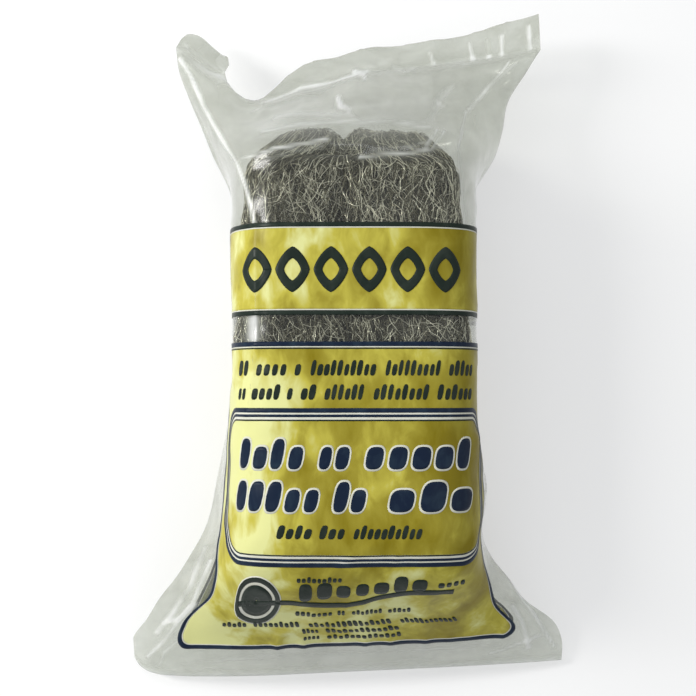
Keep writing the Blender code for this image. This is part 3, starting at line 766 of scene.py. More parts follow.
@dataclass
class FilmBag:
    """The film bag: one closed thin shell with creases, lumps over the wool and the notch in its lip."""

    form: FilmForm
    view: Viewpoint
    finish: ClearFilmFinish = field(default_factory=ClearFilmFinish)
    sharp_angle: float = 65.0
    fold_starts: tuple[float, float] = (-92.0, 88.0)
    fold_reach: float = 24.0
    fold_height: float = 0.9
    fold_sink: float = 0.35
    crease_scale: float = 0.87
    seal_haze: float = 0.32
    weld_haze: float = 0.5
    table_gap: float = 0.05
    notch_low: tuple[float, float] = (-43.0, 111.8)
    notch_outline: Line = ((-13.0, 28.8), (-11.0, 19.3), (-12.5, 14.8), (-11.0, 9.0), (-7.0, 3.4),
                           (-2.5, 0.5), (1.5, 0.0), (5.5, 1.7), (10.0, 6.6), (15.5, 12.6), (23.0, 18.0),
                           (33.0, 22.2), (44.0, 25.8), (56.0, 30.4), (56.0, 38.8), (-13.0, 38.8))
    # Much of the creases' haze is painted highlight: the white lines along the left ridge, the crescents above
    # the wool and the crimps of the lip stand for glints of the key light, and the crease with no height at the
    # window's left edge is only a painted glare.
    creases: tuple[Crease, ...] = (
        Crease(((181, 60), (191, 77), (204, 106), (223, 139), (239, 165), (248, 192), (255, 222)),
               1.0, 1.5, 1.0, 0.9),
        Crease(((255, 222), (256, 290), (255, 347), (251, 390), (247, 415)), 0.9, 1.3, 0.3),
        Crease(((184, 95), (205, 130), (222, 175), (230, 215)), -0.5, 1.6, 0.2),
        Crease(((509, 62), (466, 112), (459, 150), (464, 200), (466, 224)), -1.0, 1.5, 0.55),
        Crease(((516, 64), (489, 88), (470, 111)), 0.8, 1.3, 0.35),
        Crease(((253, 321), (253, 337)), 0.0, 1.0, 1.1, 2.8),
        Crease(((338, 99), (341, 106), (349, 110)), 1.0, 1.1, 1.0, 1.3),
        Crease(((354, 72), (363, 75), (365, 80)), 0.8, 1.1, 0.9, 0.8),
        Crease(((529, 27), (530, 48)), 0.5, 1.1, 0.9, 1.0),
        Crease(((502, 36), (502, 54)), 0.5, 0.9, 0.8, 0.9),
        Crease(((487, 40), (489, 57)), -0.5, 0.9, 0.65, 0.9),
        Crease(((470, 44), (473, 60)), 0.5, 0.9, 0.65, 0.9),
        Crease(((430, 54), (434, 64)), 0.4, 0.9, 0.45),
        Crease(((262, 139), (300, 131), (345, 134), (440, 137)), 0.0, 1.0, 0.16, 6.0),
        Crease(((182, 46), (202, 54), (220, 66)), 0.0, 1.0, 0.18, 6.0),
        Crease(((184, 44), (200, 58), (222, 72)), -0.6, 1.4, 0.35),
        Crease(((300, 112), (352, 104), (398, 99)), -0.6, 2.2, 0.12, 1.6),
        Crease(((276, 118), (318, 114), (352, 116)), 0.6, 1.6, 0.22, 1.2),
        Crease(((392, 66), (404, 74), (414, 70)), 0.8, 1.3, 0.30, 1.0),
        Crease(((452, 84), (440, 98), (432, 118)), -0.7, 1.8, 0.22, 1.4),
        Crease(((242, 160), (274, 149), (327, 140)), 0.9, 1.1, 0.65, 0.8),
        Crease(((250, 165), (290, 152), (322, 147)), 0.4, 1.0, 0.25),
        Crease(((360, 157), (395, 154), (421, 152), (445, 147)), 0.9, 1.2, 0.65, 0.8),
        Crease(((372, 150), (410, 147), (432, 141)), 0.4, 1.0, 0.25),
        Crease(((426, 147), (437, 131)), 0.7, 0.9, 0.6),
        Crease(((433, 147), (444, 133)), 0.7, 0.9, 0.6),
        Crease(((436, 100), (444, 106)), -0.7, 1.6, 0.3),
        Crease(((262, 133), (300, 125), (345, 122), (390, 123), (430, 129)), 0.5, 1.8, 0.35),
        Crease(((252, 113), (292, 97), (333, 86)), 0.6, 1.8, 0.25),
        Crease(((267, 103), (292, 93), (301, 88), (333, 82), (368, 71)), 0.5, 0.9, 0.5),
        Crease(((212, 560), (196, 598), (165, 640), (148, 656)), 0.9, 1.8, 0.7, 0.9),
        Crease(((206, 548), (190, 588), (174, 612), (158, 632)), 0.7, 1.5, 0.6, 1.2),
        Crease(((196, 604), (180, 618), (166, 622)), 0.6, 1.4, 0.7, 0.9),
        Crease(((178, 640), (164, 652), (160, 664)), 0.6, 1.6, 0.5),
        Crease(((500, 560), (522, 600), (540, 625), (554, 646)), 0.9, 1.8, 0.7, 0.9),
        Crease(((512, 606), (522, 622), (528, 646)), 0.6, 1.6, 0.6, 1.1),
        Crease(((490, 652), (512, 645), (540, 634)), 0.5, 1.5, 0.5),
        Crease(((176, 664), (250, 657), (330, 653), (420, 649), (500, 643)), 0.5, 2.0, 0.3),
        Crease(((475, 436), (483, 478), (479, 515), (471, 546)), 1.1, 2.2, 0.2),
        Crease(((300, 600), (345, 562), (382, 540)), 0.5, 2.4),
        Crease(((395, 562), (424, 516)), 0.45, 2.4),
        Crease(((352, 574), (341, 636)), 0.45, 2.4),
        Crease(((428, 600), (470, 560)), 0.45, 2.4),
    )

    def back_folds(self, ring: np.ndarray) -> np.ndarray:
        """Heights of the folds that gather the film towards its two ends, from drawn out ridges."""
        drawn = ring * np.array([1.0, 0.22, 0.5])
        to_top = ease((ring[..., 1] - self.fold_starts[1]) / self.fold_reach)
        to_low = ease((self.fold_starts[0] - ring[..., 1]) / self.fold_reach)
        folds = (ridges(drawn, 11.0, 5) * self.fold_height * to_top
                 + ridges(drawn, 13.0, 6) * self.fold_height * to_low)
        return folds - self.fold_sink * (to_top + to_low)

    def surface(self) -> tuple[np.ndarray, np.ndarray]:
        """Grid of the outer face and the haze, with its painted highlights, at each point.

        Each point moves along its outward direction by lumps of two sizes over the wool, the
        folds of the ends, and the creases, and no lower than the table.

        Returns:
            The grid of rings, and the haze with its painted highlights, from 0 to 1.
        """
        form = self.form
        body = form.body_grid()
        grid = np.concatenate([body, form.lip_grid(body[-1])])
        along = np.gradient(grid, axis=0)
        away = unit(np.cross(ring_steps(grid), along))
        over_wool = ease((96.0 - np.abs(grid[..., 1] - 1.0)) / 20.0)
        lumps = 0.34 * lattice_noise(grid, 10.0, 1) + 0.15 * lattice_noise(grid, 4.6, 2)
        soft = 0.5 * lattice_noise(grid * np.array([1.0, 0.6, 1.0]), 22.0, 3)
        height = over_wool * lumps + (1 - over_wool) * (soft + 0.12 * lattice_noise(grid, 6.0, 4))
        height += self.back_folds(grid)
        haze = (0.07 + 0.14 * ridges(grid, 26.0, 7) + 0.10 * ridges(grid, 9.0, 8)) * (1 - 0.9 * over_wool)
        front = (np.arange(form.columns) <= form.sheet_columns)[None, :]
        seen = self.view.picture(grid)
        fray = np.clip(0.85 + 0.45 * lattice_noise(grid, 9.0, 9), 0.0, 1.0)
        for crease in self.creases:
            near = distance_to_line(seen, crease.line) * self.view.floor_scale * self.crease_scale
            fall = np.exp(-near / crease.width) * front
            height += crease.height * fall
            # Haze along a crease: partly stretched film, partly a painted highlight.
            haze += crease.haze * fray * np.exp(-(near / crease.spread) ** 2) * front
        flat = np.abs(form.places())
        calm = ease((1.0 - flat) / 0.04)[None, :]
        ends = ease(np.arange(len(grid)) / 5.0)[:, None]
        seal = np.exp(-((np.arange(len(grid)) - form.body_rows + 1) / 1.6) ** 2)[:, None]
        calm = calm * (1 - 0.9 * seal) * ends
        weld = np.exp(-(np.arange(len(grid)) / 1.6) ** 2)[:, None]
        haze = haze + self.seal_haze * fray * seal + self.weld_haze * weld
        grid = grid + away * (height * calm)[..., None]
        grid[..., 2] = np.maximum(grid[..., 2], self.table_gap)
        return grid, np.clip(haze, 0.0, 1.0)

    def trim_notch(self, grid: np.ndarray) -> tuple[np.ndarray, np.ndarray]:
        """Cut the notch out of both sheets.

        A face goes from both sheets where the middle of the pair lies inside the notch in plan.
        A point on the cut moves to the nearest place on the notch's outline, along the sheet:
        its two steps along the grid solve the two equations of that move in plan.

        Args:
            grid: Grid of the film's points.

        Returns:
            The moved points as rows, and the quads that stay.
        """
        outline = np.array(self.notch_outline) + np.array(self.notch_low)
        rows, columns = grid.shape[:2]
        points = grid.reshape(-1, 3)
        faces = grid_faces(rows, columns, wrap=True).reshape(rows - 1, columns, 4)
        middle = points[faces][..., :2].mean(axis=2)
        middle = (middle + middle[:, ::-1]) / 2
        gone = inside_outline(middle, outline) & (middle[..., 1] > self.notch_low[1] - 6.0)
        kept = faces[~gone]
        on_cut = np.zeros(len(points), dtype=bool)
        on_cut[kept.ravel()] = True
        rim = np.intersect1d(np.flatnonzero(on_cut), faces[gone].ravel())
        best, foot = np.full(len(rim), np.inf), np.zeros((len(rim), 2))
        for start, end in zip(outline, np.roll(outline, -1, axis=0)):
            run = end - start
            share = np.clip((points[rim, :2] - start) @ run / (run @ run), 0.0, 1.0)
            place = start + share[:, None] * run
            gap = np.linalg.norm(points[rim, :2] - place, axis=1)
            foot[gap < best] = place[gap < best]
            best = np.minimum(best, gap)
        step_along = np.gradient(grid, axis=0).reshape(-1, 3)[rim]
        step_across = ring_steps(grid).reshape(-1, 3)[rim]
        plan = np.stack([step_along[:, :2], step_across[:, :2]], axis=2)
        steep = np.abs(np.linalg.det(plan)) < 0.05
        plan[steep] = np.eye(2)
        shares = np.linalg.solve(plan, (foot - points[rim, :2])[..., None])[..., 0]
        shares = np.clip(np.where(steep[:, None], 0.0, shares), -1.5, 1.5)
        moved = points.copy()
        moved[rim] += step_along * shares[:, :1] + step_across * shares[:, 1:]
        return moved, kept

    def edge_faces(self, kept: np.ndarray) -> list[list[int]]:
        """Faces that join the front sheet to the back one round the welds, the lip and the notch.

        Each edge that only one front face uses is joined to its mirror image on the back, which
        has the mirrored column in the same ring.

        Args:
            kept: Quads of both sheets.

        Returns:
            Quads, or triangles where the sheets already share a point.
        """
        columns, turn = self.form.columns, self.form.sheet_columns
        edges = np.stack([kept, np.roll(kept, -1, axis=1)], axis=-1).reshape(-1, 2)
        low, high = edges.min(axis=1), edges.max(axis=1)
        _, index, count = np.unique(low * (kept.max() + 1) + high, return_index=True, return_counts=True)
        single = edges[index[count == 1]]
        single = single[(single % columns <= turn).all(axis=1)]
        mirror = single - single % columns + (columns - single % columns) % columns
        joined = np.column_stack([single[:, ::-1], mirror]).tolist()
        return [list(dict.fromkeys(corners)) for corners in joined]

    def build(self) -> tuple[bpy.types.Object, np.ndarray]:
        """Make the shell.

        Returns:
            The piece, and the grid of its outer face.
        """
        grid, haze = self.surface()
        points, kept = self.trim_notch(grid)
        faces = kept.tolist() + self.edge_faces(kept)
        used = np.unique(kept)
        number = np.zeros(len(points), dtype=int)
        number[used] = np.arange(len(used))
        film = make_object("film_bag", points[used],
                           [number[corners].tolist() for corners in map(np.array, faces)])
        film.data.set_sharp_from_angle(angle=math.radians(self.sharp_angle))
        add_values(film, "haze", haze.ravel()[used])
        film.data.materials.append(self.finish.material())
        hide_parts("bag_film")
        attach(film, "root")
        return film, grid


@dataclass(frozen=True)
class PanelLayout:
    """A printed panel drawn flat: its two ends, its corner radius and its rules."""

    low: float
    high: float
    half_width: float = 79.5
    corner: float = 0.0
    border: float = 1.9
    border_gap: float = 0.5
    top_corner: float = 0.0

    @property
    def box(self) -> tuple[float, float, float, tuple[float, float]]:
        """Half width, two ends and corner radii, as the rules round the panel need them."""
        return self.half_width, self.low, self.high, (self.corner, self.top_corner)


@dataclass(frozen=True)
class ShapeRow:
    """Row of slanted pills in groups: left end, right end and number of pills of each group."""

    words: tuple[tuple[float, float, int], ...]
    middle: float
    height: float
    seed: int
    slant: float = 0.2
    rise: float = 0.0


@dataclass
class Printing:
    """All the printing: fields of colour, rules and plain shapes, wrapped on the film."""

    form: FilmForm
    grid: np.ndarray
    upper: PanelLayout = PanelLayout(13.5, 51.2)
    lower: PanelLayout = PanelLayout(-132.8, 2.7, corner=9.0, top_corner=0.3)
    frame_high: float = -24.3
    frame_low: float = -89.5
    frame_half: float = 73.0
    frame_corner: float = 14.0
    frame_low_corner: float = 21.0
    frame_lines: tuple[tuple[float, float], ...] = ((0.0, 1.9), (2.6, 3.7))
    frame_inner_line: tuple[float, float] = (4.7, 5.3)
    ink: float = 0.04
    fill_lift: float = 0.10
    white_lift: float = 0.17
    rule_lift: float = 0.20
    shape_lift: float = 0.25
    back_fill_lift: float = 0.12
    back_rule_lift: float = 0.16
    rim_width: float = 0.8
    pill_heights: tuple[float, ...] = (1.0, 1.0, 1.35)
    pill_widths: tuple[float, float] = (0.66, 0.84)
    lozenge_places: tuple[float, ...] = (-46.5, -28.8, -11.1, 6.6, 24.3, 42.0)
    lozenge_y: float = 32.0
    lozenge_half: tuple[float, float] = (8.0, 9.3)
    roundel: tuple[float, float] = (-43.0, -106.5)
    roundel_radius: float = 12.0
    bar_half: float = 1.35
    large_rows: tuple[ShapeRow, ...] = (
        ShapeRow(((-56.5, -22.5, 4), (-17.0, -1.5, 2), (4.0, 58.0, 5)), -44.6, 9.2, 3),
        ShapeRow(((-58.5, -15.0, 5), (-9.5, 6.0, 2), (14.5, 59.0, 3)), -62.0, 9.2, 4))
    dark_rows: tuple[ShapeRow, ...] = (
        ShapeRow(((-57.5, -50.0, 2), (-46.5, -31.0, 4), (-28.0, -24.5, 1), (-20.5, 10.0, 10),
                  (14.0, 40.0, 9), (43.5, 59.0, 5)), -8.8, 4.7, 5),
        ShapeRow(((-57.5, -51.5, 2), (-48.5, -34.0, 4), (-31.5, -28.0, 1), (-25.0, -17.5, 2),
                  (-14.0, 4.5, 6), (8.5, 34.5, 8), (38.0, 59.0, 6)), -18.6, 4.7, 6),
        ShapeRow(((-34.5, -18.0, 4), (-15.0, -3.0, 3), (0.5, 32.0, 10)), -75.4, 4.2, 7))
    foot_rows: tuple[ShapeRow, ...] = (
        ShapeRow(((-23.5, 39.0, 7),), -101.0, 6.2, 10, 0.0, 0.065),
        ShapeRow(((-23.5, -2.0, 9),), -95.4, 2.0, 11, 0.0),
        ShapeRow(((43.0, 58.0, 4),), -101.6, 2.6, 12, 0.0, 0.065),
        ShapeRow(((-23.5, -5.0, 7), (-3.0, 1.0, 2), (4.0, 19.0, 7), (21.5, 33.0, 5)), -113.2, 2.0, 13, 0.0),
        ShapeRow(((-60.0, -48.0, 5), (-45.0, -22.0, 9), (-18.0, 22.0, 15), (26.0, 54.0, 12)),
                 -119.4, 2.2, 14, 0.0),
        ShapeRow(((-22.0, -14.0, 4), (-11.0, 24.0, 13)), -123.2, 2.0, 15, 0.0),
        ShapeRow(((-22.0, -14.0, 4), (-11.0, 24.0, 13)), -127.0, 2.0, 16, 0.0))
    gather: Curve = field(default_factory=lambda: [
        (-133, -3.5), (-124, -3), (-118, -1.5), (-112, 3), (-107, 7.5), (-100, 8.5), (-92, 7), (-84, 2.5),
        (-74, 0)])
    yellow: YellowInkFinish = field(default_factory=YellowInkFinish)
    navy: DarkInkFinish = DarkInkFinish("navy_ink", (0.006, 0.014, 0.034), (0.018, 0.034, 0.056))
    green_black: DarkInkFinish = DarkInkFinish("green_black_ink", (0.012, 0.020, 0.015),
                                               (0.028, 0.038, 0.030))
    white: DarkInkFinish = DarkInkFinish("white_ink", (0.66, 0.66, 0.56), (0.74, 0.74, 0.68))

    def __post_init__(self) -> None:
        """Read the front and the back sheet as surfaces over their flat coordinates."""
        form = self.form
        body = self.grid[:form.body_rows]
        half = form.bag_width / 2
        turn = form.sheet_columns
        self.sheets = {
            Side.FRONT: GridSurface(body[:, :turn + 1], form.stations(), np.linspace(-half, half, turn + 1)),
            Side.BACK: GridSurface(np.concatenate([body[:, turn:], body[:, :1]], axis=1), form.stations(),
                                   np.linspace(-half, half, turn + 1)),
        }
        self.inks = {ink: ink.material() for ink in (self.yellow, self.navy, self.green_black, self.white)}

    def sheet(self, flat: list[np.ndarray], height: float,
              side: Side = Side.FRONT) -> tuple[np.ndarray, np.ndarray]:
        """Wrap grids that are drawn flat, and join them into one set of points and faces.

        The front film is gathered at the lower left: the print moves in there by the gather curve,
        with a share that grows from the middle to the left edge.

        Args:
            flat: Grids of flat points, each counter-clockwise from rows up and columns right.
            height: Height above the film.
            side: Sheet that carries them.

        Returns:
            Points in space, and quads.
        """
        points, faces, start = [], [], 0
        for part in flat:
            rows, columns = part.shape[:2]
            left = ease((-part[..., 0] - 50.0) / 24.0) * (side is Side.FRONT)
            drawn_in = smooth_curve(self.gather, part[..., 1].ravel()).reshape(rows, columns)
            across = part[..., 0] + left * drawn_in
            points.append(self.sheets[side].at(across, part[..., 1], height).reshape(-1, 3))
            faces.append(grid_faces(rows, columns) + start)
            start += rows * columns
        return np.concatenate(points), np.concatenate(faces)

    def print_piece(self, name: str, flat: list[np.ndarray], height: float, ink: object,
                    nodes: tuple[str, ...] = (), side: Side = Side.FRONT) -> bpy.types.Object:
        """Make one piece of printing from flat grids.

        Args:
            name: Name of the piece.
            flat: Grids of flat points.
            height: Height above the film.
            ink: Finish of the ink.
            nodes: CAD nodes that the piece stands for.
            side: Sheet that carries it.

        Returns:
            The piece.
        """
        piece = make_object(name, *self.sheet(flat, height, side))
        add_wall(piece, self.ink)
        piece.data.materials.append(self.inks[ink])
        if nodes:
            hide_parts(*nodes)
        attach(piece, "root")
        LOG.info("%s: %d faces", name, len(piece.data.polygons))
        return piece

    def field_grid(self, panel: PanelLayout, every: int = 1) -> np.ndarray:
        """Flat grid of a panel's yellow field.

        Each row runs between the two sides. Near a rounded end the half width is the straight
        part plus the circle's chord at that row.

        Args:
            panel: Layout of the panel.
            every: How many of the film's rows and columns one of the field's spans.

        Returns:
            Grid of flat points.
        """
        inset = panel.border + panel.border_gap * 0.5
        low, high, half = panel.low + inset, panel.high - inset, panel.half_width - inset
        radius = max(panel.corner - inset, 0.0)
        rows = self.form.stations()[::every]
        rows = np.concatenate([[low], rows[(rows > low + 0.3) & (rows < high - 0.3)], [high]])
        if radius:
            arc = low + radius * (1 - np.cos(np.linspace(0, math.pi / 2, 9)))
            rows = np.unique(np.concatenate([rows, arc]))
        rise = np.clip(radius - (rows - low), 0.0, radius)
        width = half - radius + np.sqrt(np.maximum(radius**2 - rise**2, 0.0))
        steps = int(self.form.sheet_columns * half * 2 / self.form.bag_width / every)
        shares = np.linspace(-1.0, 1.0, steps + 1)
        return np.stack([shares[None, :] * width[:, None],
                         np.repeat(rows[:, None], len(shares), axis=1)], axis=-1)

    @staticmethod
    def rounded_path(half: float, low: float, high: float, radii: tuple[float, float],
                     spacing: float = 1.3) -> tuple[np.ndarray, np.ndarray]:
        """Closed path round a rectangle with round corners, and its outward directions.

        Straight sides are cut into equal steps, and a corner is the quarter circle round its
        own centre.

        Args:
            half: Half width.
            low: Lower end.
            high: Upper end.
            radii: Radius of the two lower and of the two upper corners.
            spacing: Distance between points.

        Returns:
            Points, counter-clockwise, and directions.
        """
        corners = [(half, high, radii[1], 0.0), (-half, high, radii[1], 90.0),
                   (-half, low, radii[0], 180.0), (half, low, radii[0], 270.0)]
        points, outward = [], []
        arcs = []
        for x, y, radius, start in corners:
            radius = max(radius, 0.05)
            centre = np.array([x - math.copysign(radius, x), y - radius if y == high else y + radius])
            turn = np.radians(start + np.linspace(0.0, 90.0, max(3, int(radius * 1.6 / spacing) + 2)))
            direction = np.column_stack([np.cos(turn), np.sin(turn)])
            arcs.append((centre + radius * direction, direction))
        for (arc, direction), (after, _) in zip(arcs, arcs[1:] + arcs[:1]):
            steps = max(1, int(np.linalg.norm(after[0] - arc[-1]) / spacing))
            share = np.linspace(0.0, 1.0, steps + 1)[1:-1, None]
            points += [arc, arc[-1] + share * (after[0] - arc[-1])]
            outward += [direction, np.repeat(direction[-1:], len(share), axis=0)]
        return np.concatenate(points), np.concatenate(outward)

    def band(self, half: float, low: float, high: float, radii: tuple[float, float], outer: float,
             inner: float) -> np.ndarray:
        """Flat grid of a closed rule, between two insets from a rounded rectangle.

        Each point is the outline's point less the inset times the outward direction.

        Args:
            half: Half width of the rectangle.
            low: Its lower end.
            high: Its upper end.
            radii: Radius of its lower and upper corners.
            outer: Inset of the rule's outer edge.
            inner: Inset of its inner edge.

        Returns:
            Grid of flat points, closed by its first column again.
        """
        path, outward = self.rounded_path(half, low, high, radii)
        path, outward = np.vstack([path, path[:1]]), np.vstack([outward, outward[:1]])
        insets = np.linspace(inner, outer, max(2, int((inner - outer) / 0.9) + 2))
        grid = path[None] - insets[:, None, None] * outward[None]
        return grid[::-1]

    def straight_rule(self, left: float, right: float, low: float, high: float) -> np.ndarray:
        """Flat grid of a straight rule."""
        x = np.linspace(left, right, int((right - left) / 1.25) + 2)
        y = np.linspace(low, high, max(2, int((high - low) / 0.9) + 2))
        return np.stack(np.meshgrid(x, y), axis=-1)

    @staticmethod
    def pill(centre: tuple[float, float], width: float, height: float, slant: float = 0.2,
             squareness: float = 3.0) -> np.ndarray:
        """Flat grid of a slanted pill.

        The half height at a place along the width is the superellipse's, and each point leans
        right by the slant times its height.

        Args:
            centre: Middle of the pill.
            width: Width.
            height: Height.
            slant: Lean to the right for each unit of height.
            squareness: Power of the superellipse.

        Returns:
            Grid of flat points.
        """
        along = -np.cos(np.linspace(0.0, math.pi, max(7, int(width / 1.2) + 5)))
        reach = np.maximum(1.0 - np.abs(along) ** squareness, 0.0) ** (1.0 / squareness)
        up = np.linspace(-1.0, 1.0, max(3, int(height / 1.4) + 2))[:, None] * reach[None, :] * height / 2
        x = centre[0] + along[None, :] * width / 2 + up * slant
        return np.stack([x, centre[1] + up], axis=-1)

    @staticmethod
    def ring(centre: tuple[float, float], half_width: float, half_height: float, inner: float, outer: float,
             power: float) -> np.ndarray:
        """Flat grid of a ring between two scaled superellipses.

        Args:
            centre: Middle of the ring.
            half_width: Half width of the outline at scale 1.
            half_height: Half height at scale 1.
            inner: Scale of the inner edge.
            outer: Scale of the outer edge.
            power: Power of the superellipse: 1 gives a lozenge and 2 an ellipse.

        Returns:
            Grid of flat points, closed by its first column again.
        """
        angle = np.linspace(0.0, 2 * math.pi, 49)
        shape = np.column_stack([np.sign(np.cos(angle)) * np.abs(np.cos(angle)) ** (2 / power) * half_width,
                                 np.sign(np.sin(angle)) * np.abs(np.sin(angle)) ** (2 / power) * half_height])
        scales = np.linspace(outer, inner, 5)
        return np.array(centre) + scales[:, None, None] * shape[None]

    def pill_rows(self, rows: tuple[ShapeRow, ...], grow: float = 0.0) -> list[np.ndarray]:
        """Rows of slanted pills in groups.

        A group's pills share its width evenly, and each has a height of its own from the row's
        seed. The rise is the slope of the row's middle line.

        Args:
            rows: The rows.
            grow: Extra width on every side, for a rim under the pills.

        Returns:
            Flat grids.
        """
        pills = []
        for row in rows:
            rng = np.random.default_rng(row.seed)
            for left, right, count in row.words:
                pitch = (right - left) / count
                for place in left + pitch * (np.arange(count) + 0.5):
                    tall = row.height * rng.choice(self.pill_heights)
                    width = pitch * rng.uniform(*self.pill_widths)
                    centre = (place, row.middle + row.rise * place + (tall - row.height) / 2)
                    pills.append(self.pill(centre, width + 2 * grow, tall + 2 * grow, row.slant))
        return pills

    def roundel_ring(self, inner: float, outer: float) -> np.ndarray:
        """Flat grid of a round ring of the roundel, between two shares of its radius."""
        return self.ring(self.roundel, self.roundel_radius, self.roundel_radius, inner, outer, 2.0)

    def build(self) -> None:
        """Print both panels, the label frame, the rows of shapes and the back of the bag."""
        up, low = self.upper, self.lower
        self.print_piece("upper_panel_yellow", [self.field_grid(up)], self.fill_lift, self.yellow,
                         ("upper_panel_fill",))
        self.print_piece("lower_panel_yellow", [self.field_grid(low)], self.fill_lift, self.yellow,
                         ("lower_panel_fill",))
        self.print_piece("upper_panel_rules", [self.band(*up.box, 0.0, up.border)], self.rule_lift,
                         self.green_black, ("upper_panel_border",))
        self.print_piece("lower_panel_rules", [self.band(*low.box, 0.0, low.border)], self.rule_lift,
                         self.navy, ("lower_panel_border",))
        frame_box = (self.frame_half, self.frame_low, self.frame_high,
                     (self.frame_low_corner, self.frame_corner))
        white = [self.band(*panel.box, panel.border, panel.border + panel.border_gap) for panel in (up, low)]
        white.append(self.band(*frame_box, 0.0, self.frame_inner_line[1]))
        self.print_piece("white_rules", white, self.white_lift, self.white)
        lines = [self.band(*frame_box, *insets) for insets in self.frame_lines]
        self.print_piece("label_frame_lines", lines, self.shape_lift, self.navy,
                         ("label_frame",))
        inner_lines = [self.band(*frame_box, *self.frame_inner_line),
                       self.straight_rule(-low.half_width + 2.4, low.half_width - 2.4,
                                          low.high - 3.0, low.high - 2.5)]
        self.print_piece("label_frame_inner_line", inner_lines, self.shape_lift, self.green_black)
        self.build_shapes()
        self.build_back()

    def build_shapes(self) -> None:
        """Rows of plain shapes where the panels carry their lines."""
        heads = [self.ring((x, self.lozenge_y), *self.lozenge_half, 0.48, 1.0, 1.4)
                 for x in self.lozenge_places]
        self.print_piece("white_shape_rims", self.pill_rows(self.large_rows, self.rim_width),
                         self.white_lift, self.white)
        self.print_piece("navy_shapes", self.pill_rows(self.large_rows), self.shape_lift, self.navy)
        self.print_piece("dark_shape_rows", heads + self.pill_rows(self.dark_rows), self.shape_lift,
                         self.green_black)
        self.build_foot()

    def build_foot(self) -> None:
        """Plain roundel, a wavy bar and rows of small shapes below the label frame."""
        course: Curve = [(-53.5, -108.0), (-43.0, -108.0), (-26.0, -106.6), (-16.0, -107.2), (-4.0, -108.4),
                         (5.0, -107.8), (17.0, -104.8), (29.0, -103.0), (41.0, -102.4), (52.0, -102.6)]
        bar_x = np.linspace(course[0][0], course[-1][0], 84)
        up = np.linspace(-self.bar_half, self.bar_half, 4)
        bar = np.stack([np.repeat(bar_x[None], len(up), axis=0),
                        smooth_curve(course, bar_x)[None] + up[:, None]], axis=-1)
        dark = [bar, self.roundel_ring(0.80, 1.0), self.roundel_ring(0.02, 0.68)]
        self.print_piece("foot_shapes", dark + self.pill_rows(self.foot_rows), self.shape_lift,
                         self.green_black)
        self.print_piece("roundel_rim", [self.roundel_ring(0.62, 1.05)], self.white_lift, self.white)

    def build_back(self) -> None:
        """The same two plain panels on the back sheet."""
        panels = (self.upper, self.lower)
        self.print_piece("back_panels_yellow", [self.field_grid(panel, 2) for panel in panels],
                         self.back_fill_lift, self.yellow, side=Side.BACK)
        self.print_piece("back_panel_rules", [self.band(*panel.box, 0.0, panel.border) for panel in panels],
                         self.back_rule_lift, self.navy, side=Side.BACK)


